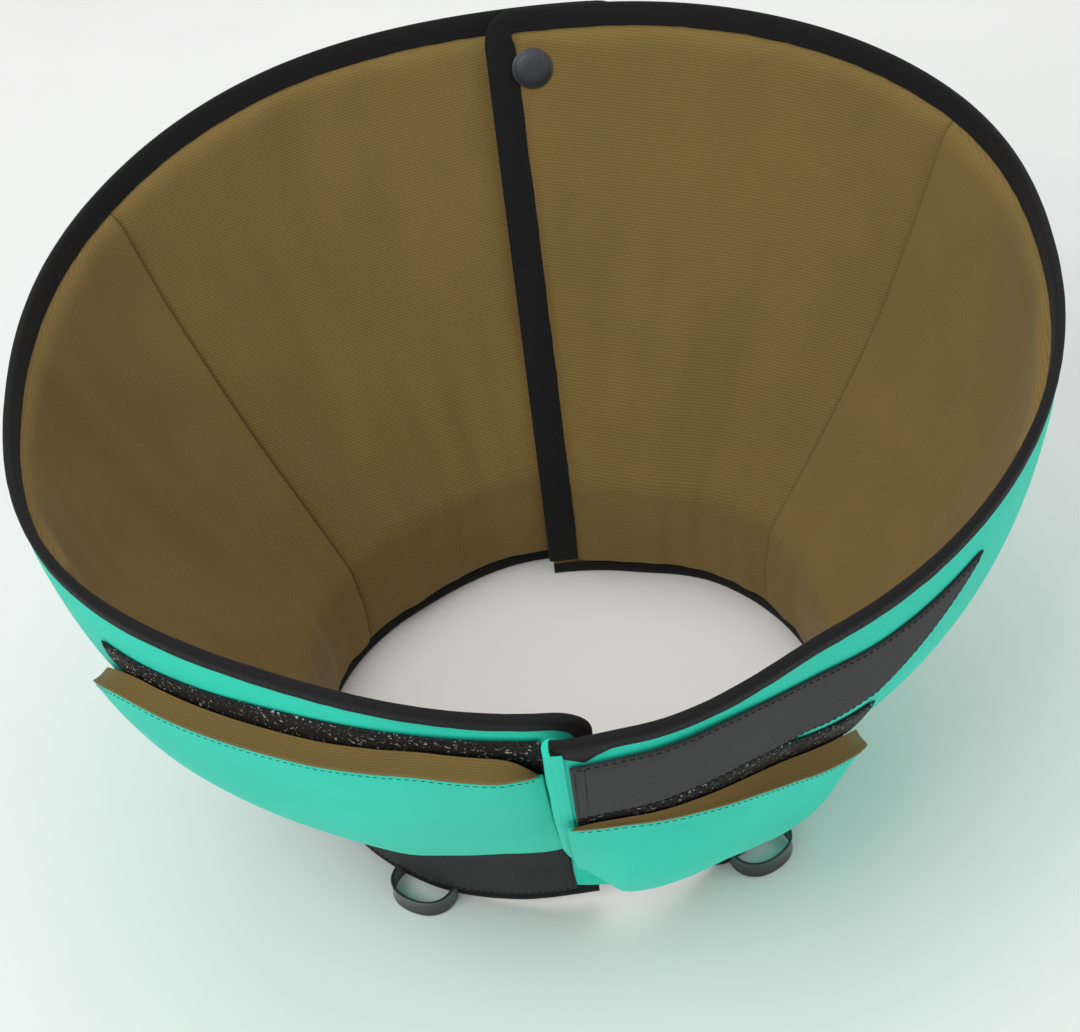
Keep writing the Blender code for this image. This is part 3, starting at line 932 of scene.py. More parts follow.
def wrinkles(side, heading, drop):
    """Soft wrinkles that run down the wall, with slower waves across them, as shares of their depth."""
    seed = 3.1 if side == "left" else 11.7
    along, down = math.radians(heading) * RIM_RADIUS, drop
    folds = noise.noise(Vector((along / (17 * MM), down / (75 * MM), seed)))
    waves = noise.noise(Vector(((along + 0.6 * down) / (46 * MM), down / (60 * MM), seed + 5)))
    return 0.75 * folds + 0.9 * waves


def snap_gathers(heading, drop):
    """Relief of the lining round the snap, positive where it is drawn in."""
    along = math.radians(SNAP_HEADING - heading) * RIM_RADIUS
    top, bottom = RIM_LEG, SNAP_DROP - SNAP_RADIUS * 0.8
    relief = 0.0
    if drop < bottom + 2 * MM:
        t = min(max((drop - top) / (bottom - top), 0.0), 1.0)
        for at_binding, at_cap, depth in SNAP_GATHERS:
            line = at_binding + (at_cap - at_binding) * t
            relief += depth * math.exp(-(((along - line) / GATHER_WIDTH) ** 2)) * (1 - 0.3 * t)
    (start_x, start_drop), (end_x, end_drop) = SNAP_CREASE
    t = (drop - start_drop) / (end_drop - start_drop)
    fade = math.exp(-((2 * (t - 0.5)) ** 2))
    line = start_x + (end_x - start_x) * t
    relief += CREASE_DEPTH * fade * math.exp(-(((along - line) / CREASE_WIDTH) ** 2))
    away = math.hypot(along, drop - SNAP_DROP)
    relief += 0.6 * MM * math.exp(-((away / (9 * MM)) ** 2))
    return relief


def lining_offset(side, panel, first, last, heading, drop):
    """Offset of the lining's face, drawn in at its seams and full between them."""
    along = math.radians(1) * middle(side, heading, drop).to_2d().length
    ends = (LAYS[side][0][0], LAYS[side][-1][0])
    fullness, pull, flattened = 1.0, 0.0, 0.0
    for edge in (first, last):
        distance = abs(heading - edge) * along
        if edge in ends:
            leg = end_leg(side) + LEG_MARGIN if edge in dict(ROUNDED[side]) else 0.0
            fullness = min(fullness, shoulder(distance - leg, BOUND_REACH))
            flat = min(distance, leg) ** 2 / (2 * math.degrees(along))
            flattened = max(flattened, flat * (1 - shoulder(distance - leg, PINCH_REACH)))
        else:
            full = shoulder(distance, UPPER_REACH if panel in TOP_PANELS else UNDER_REACH)
            fullness = min(fullness, full)
            pull = max(pull, 1 - full)
    fullness *= shoulder(drop - RIM_LEG, BOUND_REACH)
    fullness *= shoulder(neck_drop(side, heading) - NECK_LEG - drop, BOUND_REACH)
    swell = sizes().swell * fullness
    relief = sizes().wrinkle * wrinkles(side, heading, drop) * fullness
    if side == "right" and panel == "back":
        relief += snap_gathers(heading, drop) * min(fullness * 3, 1.0)
    pinched = pinch(side, heading, drop)
    offset = INNER_FACE + LINING_PINCH * pinched + sizes().seam_depth * pull * (1 - pinched) - swell + relief
    if side == "right" and panel == "back":
        along_rim = math.radians(SNAP_HEADING - heading) * RIM_RADIUS
        away = math.hypot(along_rim, drop - SNAP_DROP) - SNAP_RADIUS
        offset += (INNER_FACE + SNAP_SEAT - offset) * (1 - ease(away / SNAP_SEAT_REACH)) * (1 - pinched)
    return offset + flattened


def wall_drop(side, heading, share):
    """Drop of a row of the wall's cloth, which starts at the rounded top edge."""
    top = corner_drop(side, heading)
    return top + (neck_drop(side, heading) - top) * share


def add_lining_panel(side, panel, first, last):
    """A padded panel of the lining, closed behind."""
    ends = (LAYS[side][0][0], LAYS[side][-1][0])
    centre = (first + last) / 2
    fine = [BOUND_COLUMNS if edge in dict(ROUNDED[side]) else SEAM_COLUMNS for edge in (first, last)]
    headings = [first + step for step in fine[0][:-1]]
    headings += even(first + fine[0][-1], last - fine[1][-1], 1.0)
    headings += [last - step for step in reversed(fine[1][:-1])]
    drops = edged(0.0, WALL_BOTTOM, 3.2 * MM, EDGE_ROWS)
    shares = [drop / WALL_BOTTOM for drop in drops]
    inset = 0.3

    def point_at(column, row, layer):
        heading = headings[column]
        drop = wall_drop(side, heading, shares[row])
        if layer:
            return place(side, heading, drop, LINING_BACK - BACK_PINCH * pinch(side, heading, drop))
        return place(side, heading, drop, lining_offset(side, panel, first, last, heading, drop))

    def thread_at(column, row):
        heading = headings[column]
        return thread_spot(heading, wall_drop(side, heading, shares[row]), centre)

    if first not in ends:
        headings[0] = first + math.degrees(inset * GAP / NECK_HALF_DEPTH)
    body = cloth_body(len(headings) - 1, len(shares) - 1, point_at, thread_at)
    name = f"lining_{side}_{panel}"
    piece = add_piece(f"padded_{name}", body, ribbed_nylon_lining(), "lining", (name,), sharp=70)
    return piece


def flat_sector(first, last, top, bottom):
    """Width, length and area of a piece of the cone laid flat."""
    turn = math.radians(last - first) * FLAT_TURN
    outer, inner = FLAT_RADIUS - top * SLANT, FLAT_RADIUS - bottom * SLANT
    width = 2 * outer * math.sin(turn / 2)
    length = outer - inner * math.cos(turn / 2)
    return (width, length), turn / 2 * (outer**2 - inner**2)


def add_shell(side):
    """The outer shell of a half."""
    first, last = LAYS[side][0][0], LAYS[side][-1][0]
    headings = even(first, last, 1.5)
    shares = [drop / WALL_BOTTOM for drop in even(0.0, WALL_BOTTOM, 4 * MM)]
    centre = (first + last) / 2

    def point_at(column, row, layer):
        heading = headings[column]
        drop = wall_drop(side, heading, shares[row])
        relief = 0.2 * MM * wrinkles(side, heading, drop + 0.3)
        offset = OUTER_FACE + relief - SHELL_PINCH * pinch(side, heading, drop)
        offset -= SHELL_THICKNESS if layer else 0.0
        return place(side, heading, drop, offset)

    def thread_at(column, row):
        heading = headings[column]
        return thread_spot(heading, wall_drop(side, heading, shares[row]), centre)

    body = cloth_body(len(headings) - 1, len(shares) - 1, point_at, thread_at)
    piece = add_piece(f"outer_shell_{side}", body, smooth_polyester_shell(), "shell", (f"shell_{side}",))
    flat, area = flat_sector(first, last, 0.0, WALL_BOTTOM)
    hem = [add_folded_edge()] if side == "right" else []


def add_folded_edge():
    """The shell's cloth folded round the right half's front edge, and round its rising neck corner."""
    end, bound = LAYS["right"][0][0], NECK_BOUND["right"][0]
    path = [(heading, neck_drop("right", heading)) for heading in even(bound, end, 1.5)]
    path += [(end, drop) for drop in even(neck_drop("right", end), FOLD_START, 4 * MM)[1:]]
    half, inside = OUTER_FACE + 0.22 * MM, OUTER_FACE + CLOTH_GAP
    ring = (
        (-half, -FOLD_LEGS[0]),
        (-half, 0.0),
        (-half * 0.86, FOLD_ROUND * 0.5),
        (-half * 0.5, FOLD_ROUND * 0.86),
        (0.0, FOLD_ROUND),
        (half * 0.5, FOLD_ROUND * 0.86),
        (half * 0.86, FOLD_ROUND * 0.5),
        (half, 0.0),
        (half, -FOLD_LEGS[1]),
        (inside, -FOLD_LEGS[1]),
        (inside, CLOTH_GAP),
        (-inside, CLOTH_GAP),
        (-inside, -FOLD_LEGS[0]),
    )
    sections, threads, run = [], [], 0.0
    frames = edge_frames("right", path)
    for number, (origin, out, edge) in enumerate(frames):
        run += (origin - frames[number - 1][0]).length if number else 0.0
        roll = 0.35 * MM * noise.noise(Vector((run / (16 * MM), 5.5, 0)))
        sections.append([origin + out * across + edge * (up + roll * (up > 0)) for across, up in ring])
        threads.append([Vector((run, k * MM)) for k in range(len(ring) + 1)])
    body = tube_body(sections, threads)
    return add_piece("folded_front_edge", body, smooth_polyester_shell(), "shell", sharp=60)


class CONE_OT_lining(bpy.types.Operator):
    """Makes the padded lining panels, full between their seams and drawn in at the snap"""

    bl_idname = "cone.lining"
    bl_label = "Padded lining"

    def execute(self, context):
        for side, lay in LAYS.items():
            edges = [lay[0][0], *SEAMS[side], lay[-1][0]]
            for panel, first, last in zip(PANELS[side], edges, edges[1:]):
                add_lining_panel(side, panel, first, last)
        return {"FINISHED"}


class CONE_OT_shell(bpy.types.Operator):
    """Makes the smooth outer shell of both halves"""

    bl_idname = "cone.shell"
    bl_label = "Outer shell"

    def execute(self, context):
        for side in LAYS:
            add_shell(side)
        return {"FINISHED"}


# Bindings

STITCH_FROM_TIP = 1.7 * MM
STITCH_DEPTH = 0.2 * MM
# Gap between a binding and the cloth in it
CLOTH_GAP = 0.05 * MM
# Legs of the bindings inside: drop and length. The right half's back end has a wider one
INNER_LEGS = {
    "left": ((0.0, RIM_LEG), (1.0, RIM_LEG)),
    "right": ((0.0, RIM_LEG), (CORNER_RADIUS, END_LEG)),
}
# Legs of the bindings outside: run from the first end and length. The right one's first end is folded over
OUTER_LEGS = {
    "left": ((0.0, OUTER_LEG), (1.0, OUTER_LEG)),
    "right": ((0.0, 2 * MM), (7.5 * MM, 10.4 * MM), (16 * MM, 4.4 * MM), (40 * MM, OUTER_LEG)),
}
NECK_LEGS = ((0.0, NECK_LEG), (1.0, NECK_LEG))


def binding_ring(inner_leg, outer_leg):
    """Ring of points across a folded binding: the distance outwards and the distance past the cloth's edge."""
    ring = []
    for sign, leg, half in ((-1, inner_leg, INNER_HALF), (1, outer_leg, OUTER_HALF)):
        stitch = max(leg - STITCH_FROM_TIP, 0.0)
        outer = [
            (half - 0.3 * MM, -leg),
            (half - 0.12 * MM, -leg + 0.12 * MM),
            (half - 0.05 * MM, -leg + 0.6 * MM),
            (half - STITCH_DEPTH, -stitch),
            (half - 0.03 * MM, -stitch + 0.8 * MM),
            (half, -stitch * 0.4),
            (half * 0.97, 0.0),
            (half * 0.82, 0.75 * MM),
            (half * 0.5, 1.25 * MM),
        ]
        if sign > 0:
            outer.reverse()
        ring += [(sign * across, up) for across, up in outer]
        if sign < 0:
            ring.append((0.0, BINDING_TIP - 0.05 * MM))
    front = INNER_FACE + LINING_PINCH - CLOTH_GAP
    back = OUTER_FACE - SHELL_PINCH + CLOTH_GAP
    ring += [(back, -outer_leg), (back, 0.0), (front, 0.0), (front, -inner_leg)]
    return ring


def edge_frames(side, path):
    """Place, outward way and way past the cloth's edge at each point of a path of headings and drops."""
    points = [middle(side, heading, drop) for heading, drop in path]
    frames = []
    for number, (heading, drop) in enumerate(path):
        along = points[min(number + 1, len(path) - 1)] - points[max(number - 1, 0)]
        out = outward(side, heading, drop)
        frames.append((points[number], out, out.cross(along).normalized()))
    return frames


def add_binding(name, node, side, path, inner_legs, outer_legs, seed):
    """A binding along a path, with its edge stitch on both faces."""
    sections, threads, lines = [], [], ([], [])
    run = 0.0
    frames = edge_frames(side, path)
    for number, (origin, out, edge) in enumerate(frames):
        if number:
            run += (origin - frames[number - 1][0]).length
        inner_leg = row_value(inner_legs, path[number][1], 1)
        outer_leg = row_value(outer_legs, run, 1)
        pucker = 0.3 * MM * noise.noise(Vector((run / (5 * MM), seed, 0)))
        swell = 0.15 * MM * noise.noise(Vector((run / (9 * MM), seed, 4)))
        ring = binding_ring(inner_leg + pucker, outer_leg - pucker)
        points, spots, reach = [], [], 0.0
        for k, (across, up) in enumerate(ring):
            across += math.copysign(swell, across)
            points.append(origin + out * across + edge * up)
            if k:
                reach += (points[-1] - points[-2]).length
            spots.append(Vector((run, reach)))
        spots.append(Vector((run, reach + RIM_LEG)))
        sections.append(points)
        threads.append(spots)
        for line, sign, leg, half in zip(lines, (-1, 1), (inner_leg, outer_leg), (INNER_HALF, OUTER_HALF)):
            across = sign * (half - STITCH_DEPTH)
            line.append((origin + out * across - edge * max(leg - STITCH_FROM_TIP, 0.0), out * sign))
    add_piece(name, tube_body(sections, threads), woven_polyester_binding(), "binding", (node,), sharp=60)
    add_stitches(f"{name}_stitches", lines, spun_sewing_thread(), "binding")


def rim_path(side):
    """Headings and drops along a half's rim, and down its bound ends."""
    lay = LAYS[side]
    corners = dict(ROUNDED[side])
    margin = math.degrees(CORNER_RADIUS / RIM_RADIUS)
    first, last = lay[0][0], lay[-1][0]
    start = first + margin if first in corners else first
    stop = last - margin if last in corners else last
    path = [(heading, 0.0) for heading in even(start, stop, 1.3)]
    for end, inwards in corners.items():
        bottom = neck_drop(side, end) - NECK_LEG - BINDING_TIP
        turns = [math.radians(turn) for turn in even(10, 80, 10)]
        arc = [
            (
                end + inwards * margin * (1 - math.cos(turn)),
                CORNER_RADIUS * (1 - math.sin(turn)),
            )
            for turn in turns
        ]
        edge = [(end, drop) for drop in even(bottom, CORNER_RADIUS, 4 * MM)] + arc
        path = edge + path if inwards > 0 else path + edge[::-1]
    return path


class CONE_OT_rim_binding(bpy.types.Operator):
    """Makes the binding round the rim and down the bound ends of each half"""

    bl_idname = "cone.rim_binding"
    bl_label = "Rim binding"

    def execute(self, context):
        for seed, side in enumerate(LAYS):
            legs = (INNER_LEGS[side], OUTER_LEGS[side])
            add_binding(f"bound_rim_{side}", f"rim_binding_{side}", side, rim_path(side), *legs, seed + 0.5)
        return {"FINISHED"}


class CONE_OT_neck_binding(bpy.types.Operator):
    """Makes the binding round the neck of each half"""

    bl_idname = "cone.neck_binding"
    bl_label = "Neck binding"

    def execute(self, context):
        for seed, (side, (first, last)) in enumerate(NECK_BOUND.items()):
            path = [(heading, neck_drop(side, heading)) for heading in even(last, first, 2.2)]
            legs = (NECK_LEGS, NECK_LEGS)
            add_binding(f"bound_neck_{side}", f"neck_binding_{side}", side, path, *legs, seed + 7.5)
        return {"FINISHED"}


# Flaps


def lip_drop(side, heading):
    """Drop of a flap's lip."""
    return CONE_DEPTH * row_value(FLAPS[side], heading, 1)


def flap_offset(side, heading, share):
    """Inner face of a flap at a share of its height."""
    lip = FLAP_FULLNESS * row_value(FLAPS[side], heading, 2)
    belly = FLAP_FULLNESS * row_value(FLAPS[side], heading, 3)
    over_tape = HOOK_THICKNESS + 2 * GAP
    stands = [row_value(FLAP_ROWS, share, column) for column in (1, 2, 3)]
    return OUTER_FACE + GAP + lip * stands[0] + belly * stands[1] + over_tape * stands[2]


def flap_folds(side, heading, share):
    """Soft folds of a flap, gathered towards its foot."""
    seed = 21.3 if side == "left" else 37.9
    gathers = noise.noise(Vector((math.radians(heading) * 95 / 9, share * 1.2, seed)))
    waves = noise.noise(Vector((math.radians(heading) * 130 / 40, share * 2.2, seed + 3)))
    return MM * (0.5 * gathers * ease((share - 0.45) / 0.5) + 0.8 * waves * math.sin(math.pi * share))


def add_flap(side):
    """The full flap on a half's front, with a stitched lip."""
    rows = FLAPS[side]
    headings = even(rows[0][0], rows[-1][0], 0.9)
    shares = even(0.0, 1.0, 0.03)
    centre = (rows[0][0] + rows[-1][0]) / 2

    def face_drop(heading, share):
        top = lip_drop(side, heading)
        return top + (CONE_DEPTH - top) * share

    def point_at(column, row, layer):
        heading, share = headings[column], shares[row]
        offset = flap_offset(side, heading, share) + flap_folds(side, heading, share)
        return place(side, heading, face_drop(heading, share), offset + (0.0 if layer else FLAP_THICKNESS))

    def thread_at(column, row):
        return thread_spot(headings[column], face_drop(headings[column], shares[row]), centre)

    body = cloth_body(len(headings) - 1, len(shares) - 1, point_at, thread_at)
    piece = add_piece(f"full_flap_{side}", body, smooth_polyester_shell(), "shell", (f"flap_{side}",))
    round_edges(piece, 0.4 * MM)
    seam = []
    for heading in headings[1:-1]:
        offset = flap_offset(side, heading, 0.02) + flap_folds(side, heading, 0.02) + FLAP_THICKNESS
        drop = face_drop(heading, 0.0) + 1.2 * MM
        seam.append((place(side, heading, drop, offset), outward(side, heading, drop)))
    add_stitches(f"flap_lip_stitches_{side}", [seam], spun_sewing_thread(), "shell")


def add_facing(side):
    """The facing that runs from the hook tape out to a flap's lip, rounded at both ends."""
    inner = OUTER_FACE + HOOK_THICKNESS + 3 * GAP
    first, last = FACINGS[side]
    headings = even(first, last, 0.9)
    rows = even(0.0, 1.0, 0.125)
    thick = 1.2 * MM

    def point_at(column, row, layer):
        heading = headings[column]
        closing = shoulder(min(heading - first, last - heading) + 0.2, FACING_ROUND)
        share = 1 - closing * (1 - rows[row])
        lip = max(flap_offset(side, heading, 0) + FLAP_THICKNESS, inner + FLAP_THICKNESS)
        sag = 0.8 * MM * math.sin(math.pi * share)
        bottom = lip_drop(side, heading) - GAP + sag * (1 if layer else 0.6)
        return place(side, heading, bottom - (0.0 if layer else thick), inner + (lip - inner) * share)

    def thread_at(column, row):
        return Vector((math.radians(headings[column]) * RIM_RADIUS, rows[row] * 10 * MM))

    body = cloth_body(len(headings) - 1, len(rows) - 1, point_at, thread_at)
    node = f"flap_facing_{side}"
    piece = add_piece(f"lip_facing_{side}", body, ribbed_nylon_lining(), "lining", (node,))
    round_edges(piece, 0.35 * MM)


class CONE_OT_flaps(bpy.types.Operator):
    """Makes the full flaps with their stitched lips and facings"""

    bl_idname = "cone.flaps"
    bl_label = "Flaps"

    def execute(self, context):
        for side in FLAPS:
            add_flap(side)
            add_facing(side)
        return {"FINISHED"}


# Tapes

# Distance of the stitches from a tape's edge
TAPE_SEAM = 1.1 * MM


def upper_hook_top(heading):
    """Drop of the left hook tape's top edge."""
    return CONE_DEPTH * row_value(UPPER_HOOK_TOPS, heading, 1)


def strap_top(heading):
    """Drop of the rim strap's top edge."""
    return CONE_DEPTH * row_value(RIM_STRAP_TOPS, heading, 1)


def lower_hook_top(heading):
    """Drop of the right hook tape's top edge, which leaves the strap's lower edge towards its end."""
    below = TAPE_GAP + TAPE_SPREAD * row_value(LOWER_HOOK_TOPS, heading, 1)
    return strap_top(heading) + STRAP_WIDTH + below


def neck_strap_top(heading):
    """Drop of the neck strap's top edge, at the flap's foot."""
    return CONE_DEPTH + 2 * GAP


def neck_strap_width(heading):
    """Width of the neck strap, down to the neck binding."""
    return neck_drop("left", heading) - NECK_LEG - GAP - neck_strap_top(heading)


def add_tape(name, node, side, ends, top_at, width_at, thickness, finish, slot, rows_at_end=1, fray=0.0):
    """A flat tape sewn on the shell, with soft waves, and the rows of stitches round it."""
    first, last, foot = ends
    columns, rows = max(round(abs(last - first) / 1.2), 4), 12
    base = OUTER_FACE + GAP
    length = math.radians(abs(last - first)) * (RIM_RADIUS - (top_at(first) + width_at(first) / 2) * 0.53)
    _, notch, reach = FRAY

    def spot(across, down):
        start = first + fray * max(1 - abs(down - notch) / reach, 0.0)
        heading = start + (last + (foot - last) * down - start) * across
        return heading, top_at(heading) + width_at(heading) * down

    def face(across, down):
        along = across * length
        wave = 0.25 * MM * noise.noise(Vector((along / (14 * MM), down * 1.5, len(node))))
        drawn = 0.3 * MM * (1 - shoulder(min(down, 1 - down) * width_at(first), 3 * MM))
        return base + thickness + wave - drawn

    def point_at(column, row, layer):
        across, down = column / columns, row / rows
        return place(side, *spot(across, down), base if layer else face(across, down))

    def thread_at(column, row):
        return Vector((row / rows * width_at(first), column / columns * length))

    def seam(corners):
        line = []
        for (a, b), (c, d) in zip(corners, corners[1:]):
            steps = columns if abs(c - a) > 0.5 else 8
            for k in range(steps + 1):
                across, down = a + (c - a) * k / steps, b + (d - b) * k / steps
                heading, drop = spot(across, down)
                point = place(side, heading, drop, face(across, down))
                line.append((point, outward(side, heading, drop)))
        return line

    piece = add_piece(name, cloth_body(columns, rows, point_at, thread_at), finish, slot, (node,))
    round_edges(piece, 0.35 * MM)
    low, near = TAPE_SEAM / width_at(first), TAPE_SEAM / length
    corners = [(near, low), (1 - near, low), (1 - near, 1 - low), (near, 1 - low), (near, low)]
    seams = [seam(corners)]
    for number in range(1, rows_at_end):
        at = near * (1 + 2.2 * number)
        seams.append(seam([(at, low), (at * 1.2, 1 - low)]))
    add_stitches(f"{name}_stitches", seams, spun_sewing_thread(), slot)


class CONE_OT_tapes(bpy.types.Operator):
    """Makes the ribbed loop tapes and the bristly hook tapes"""

    bl_idname = "cone.tapes"
    bl_label = "Tapes"

    def execute(self, context):
        hook = (lambda heading: HOOK_WIDTH, HOOK_THICKNESS, moulded_hook_tape(), "hook_tape")
        left = ("hook_tape_left", "left", UPPER_HOOK_TAPE, upper_hook_top)
        add_tape("upper_hook_tape", *left, *hook, fray=FRAY[0])
        right = ("hook_tape_right", "right", LOWER_HOOK_TAPE, lower_hook_top)
        add_tape("lower_hook_tape", *right, *hook)
        loop = (STRAP_THICKNESS - 0.2 * MM, woven_loop_tape(), "loop_tape")
        strap = ("rim_strap", "right", RIM_STRAP, strap_top, lambda heading: STRAP_WIDTH)
        add_tape("rim_loop_tape", *strap, *loop, rows_at_end=2)
        collar = ("neck_strap", "left", NECK_STRAP, neck_strap_top, neck_strap_width)
        add_tape("neck_loop_tape", *collar, *loop)
        return {"FINISHED"}


# Snap and collar loops


class CONE_OT_snap(bpy.types.Operator):
    """Makes the grained cap of the snap"""

    bl_idname = "cone.snap"
    bl_label = "Snap"

    def execute(self, context):
        centre = place("right", SNAP_HEADING, SNAP_DROP, INNER_FACE)
        inwards = -outward("right", SNAP_HEADING, SNAP_DROP)
        sideways = inwards.cross(Vector((0, 0, 1))).normalized()
        body = bmesh.new()
        line = []
        for reach, height in SNAP_PROFILE:
            point = centre + sideways * SNAP_RADIUS * reach + inwards * (SNAP_HEIGHT * height - SNAP_SEAT)
            line.append(body.verts.new(point))
        edges = [body.edges.new(pair) for pair in zip(line, line[1:])]
        bmesh.ops.spin(
            body,
            geom=line + edges,
            cent=centre,
            axis=inwards,
            angle=math.tau,
            steps=64,
            use_merge=True,
        )
        bmesh.ops.remove_doubles(body, verts=body.verts, dist=0.01 * MM)
        face_outwards(body)
        add_piece("domed_snap_cap", body, grained_snap_cap(), "snap", ("snap_cap",), sharp=40)
        return {"FINISHED"}


def add_loop(side, heading):
    """A ribbon loop that stands out from the neck binding."""
    ends = []
    for turn in (-LOOP_TURN, LOOP_TURN):
        point = place(side, heading + turn, WALL_BOTTOM, OUTER_HALF)
        ends.append(Vector((point.x, point.y, 0)))
    along = (ends[1] - ends[0]).normalized()
    out = along.cross(Vector((0, 0, 1)))
    centre = (ends[0] + ends[1]) / 2
    half_line = [(share * LOOP_LENGTH, reach * LOOP_REACH) for share, reach in LOOP_LINE]
    corners = [(-x, y) for x, y in half_line] + half_line[::-1]
    line = []
    for k in range(len(corners) - 1):
        a, b, c, d = (corners[min(max(k + step, 0), len(corners) - 1)] for step in (-1, 0, 1, 2))
        for t in (0.0, 0.25, 0.5, 0.75):
            line.append(
                tuple(
                    b[i] + 0.5 * t * (c[i] - a[i] + t * (2 * a[i] - 5 * b[i] + 4 * c[i] - d[i]
                    + t * (3 * (b[i] - c[i]) + d[i] - a[i])))
                    for i in (0, 1)
                )
            )
    line.append(corners[-1])
    half = LOOP_THICKNESS / 2
    ring = (
        (half * 0.4, 0.0),
        (half, 0.04),
        (half * 0.75, 0.12),
        (half * 0.7, 0.5),
        (half * 0.75, 0.88),
        (half, 0.96),
        (half * 0.4, 1.0),
        (-half * 0.4, 1.0),
        (-half, 0.96),
        (-half * 0.75, 0.88),
        (-half * 0.7, 0.5),
        (-half * 0.75, 0.12),
        (-half, 0.04),
        (-half * 0.4, 0.0),
    )
    sections, threads, run = [], [], 0.0
    for number, (x, y) in enumerate(line):
        before, after = line[max(number - 1, 0)], line[min(number + 1, len(line) - 1)]
        way = Vector((after[0] - before[0], after[1] - before[1])).normalized()
        run += math.dist(before, (x, y)) if number else 0.0
        section, spots = [], []
        for across, height in ring:
            flat = centre + along * (x - way.y * across) + out * (y + way.x * across)
            sag = 0.8 * MM * y / LOOP_REACH
            section.append(flat + Vector((0, 0, LOOP_CLEARANCE + LOOP_HEIGHT * height - sag)))
            spots.append(Vector((height * LOOP_HEIGHT, run)))
        spots.append(spots[0])
        sections.append(section)
        threads.append(spots)
    body = tube_body(sections, threads)
    add_piece(f"ribbon_loop_{side}", body, satin_ribbon(), "ribbon", (f"collar_loop_{side}",), sharp=60)


class CONE_OT_loops(bpy.types.Operator):
    """Makes the ribbon loops that a collar runs through"""

    bl_idname = "cone.loops"
    bl_label = "Collar loops"

    def execute(self, context):
        for side, heading in LOOPS:
            add_loop(side, heading)
        return {"FINISHED"}


# Studio

FLOOR_SIZE = 6.0
# Lights: name, place, size and power in watts. Each faces a point a little above the floor's middle
LIGHTS = (
    ("key_softbox", (-0.75, -0.75, 1.35), 1.1, 14.0),
    ("fill_softbox", (1.1, -0.6, 0.9), 1.4, 4.0),
    ("top_softbox", (0.1, 0.5, 1.5), 1.2, 6.5),
)
WORLD_STRENGTH = 0.48


def add_camera():
    """A camera at the photograph's viewing angle."""
    target = AXIS + Vector((0, 0, RIM_TOP))
    rise = math.radians(CAMERA_ELEVATION)
    stand = Vector((0, -CAMERA_DISTANCE * math.cos(rise), CAMERA_DISTANCE * math.sin(rise)))
    forward = -stand.normalized()
    right = Vector((1, 0, 0))
    up = right.cross(forward)
    pan = Matrix.Rotation(math.radians(CAMERA_PAN), 3, up)
    forward, right = pan @ forward, pan @ right
    tilt = Matrix.Rotation(math.radians(CAMERA_TILT), 3, right)
    forward, up = tilt @ forward, tilt @ up
    roll = Matrix.Rotation(math.radians(CAMERA_ROLL), 3, forward)
    right, up = roll @ right, roll @ up
    data = bpy.data.cameras.new("photo_view")
    data.lens = CAMERA_LENS
    data.sensor_width = CAMERA_SENSOR
    camera = bpy.data.objects.new("photo_view", data)
    pose = Matrix((right, up, -forward)).transposed().to_4x4()
    pose.translation = target + stand
    camera.matrix_world = pose
    bpy.context.scene.collection.objects.link(camera)
    bpy.context.scene.camera = camera


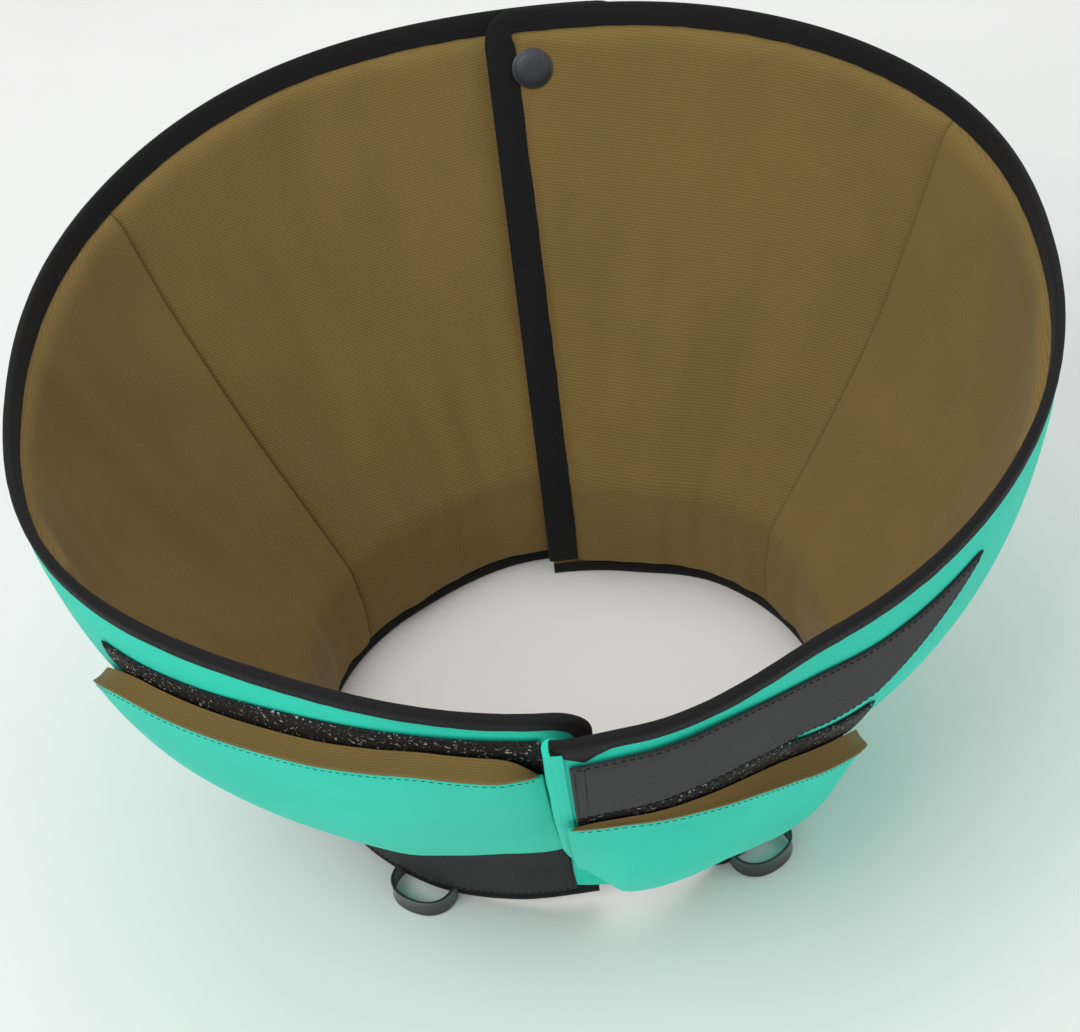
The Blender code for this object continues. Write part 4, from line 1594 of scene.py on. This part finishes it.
def add_lights():
    """Soft boxes round the cone and an even pale surround."""
    for name, stand, size, power in LIGHTS:
        data = bpy.data.lights.new(name, "AREA")
        data.size = size
        data.energy = power
        light = bpy.data.objects.new(name, data)
        light.location = stand
        aim = Vector((0, 0, 0.1)) - Vector(stand)
        light.rotation_euler = aim.to_track_quat("-Z", "Y").to_euler()
        bpy.context.scene.collection.objects.link(light)
    world = bpy.data.worlds.new("pale_surround")
    world.use_nodes = True
    surround = world.node_tree.nodes["Background"]
    surround.inputs["Color"].default_value = (1, 1, 1, 1)
    surround.inputs["Strength"].default_value = WORLD_STRENGTH
    bpy.context.scene.world = world
    bpy.context.scene.view_settings.view_transform = "Standard"


def add_floor():
    """A plain pale floor."""
    body = bmesh.new()
    bmesh.ops.create_grid(body, x_segments=8, y_segments=8, size=FLOOR_SIZE / 2)
    mesh = bpy.data.meshes.new("studio_floor")
    body.to_mesh(mesh)
    body.free()
    mesh.materials.append(matt_studio_floor())
    floor = bpy.data.objects.new("studio_floor", mesh)
    bpy.context.scene.collection.objects.link(floor)


class CONE_OT_studio(bpy.types.Operator):
    """Makes the floor, the lights and the camera"""

    bl_idname = "cone.studio"
    bl_label = "Studio"

    def execute(self, context):
        add_camera()
        add_lights()
        add_floor()
        return {"FINISHED"}


STEPS = (
    CONE_OT_studio,
    CONE_OT_lining,
    CONE_OT_shell,
    CONE_OT_rim_binding,
    CONE_OT_neck_binding,
    CONE_OT_flaps,
    CONE_OT_tapes,
    CONE_OT_snap,
    CONE_OT_loops,
)


class CONE_PT_panel(bpy.types.Panel):
    """Lists the cone's pieces, sizes and colours"""

    bl_idname = "CONE_PT_panel"
    bl_label = "Recovery cone"
    bl_space_type = "VIEW_3D"
    bl_region_type = "UI"
    bl_category = "Recovery cone"

    def draw(self, context):
        for step in STEPS:
            self.layout.operator(step.bl_idname)
        for group in (context.scene.cone_sizes, context.scene.cone_colors):
            box = self.layout.box()
            for name in group.__annotations__:
                box.prop(group, name)


CLASSES = (ConeSizes, ConeColors, *STEPS, CONE_PT_panel)


def register():
    """Adds the classes and the settings to Blender."""
    for item in CLASSES:
        bpy.utils.register_class(item)
    bpy.types.Scene.cone_sizes = bpy.props.PointerProperty(type=ConeSizes)
    bpy.types.Scene.cone_colors = bpy.props.PointerProperty(type=ConeColors)


def unregister():
    """Takes them out again."""
    del bpy.types.Scene.cone_colors
    del bpy.types.Scene.cone_sizes
    for item in reversed(CLASSES):
        bpy.utils.unregister_class(item)


def main():
    """Makes every piece in order."""
    register()
    for step in STEPS:
        group, name = step.bl_idname.split(".")
        getattr(getattr(bpy.ops, group), name)()


if __name__ == "__main__":
    main()
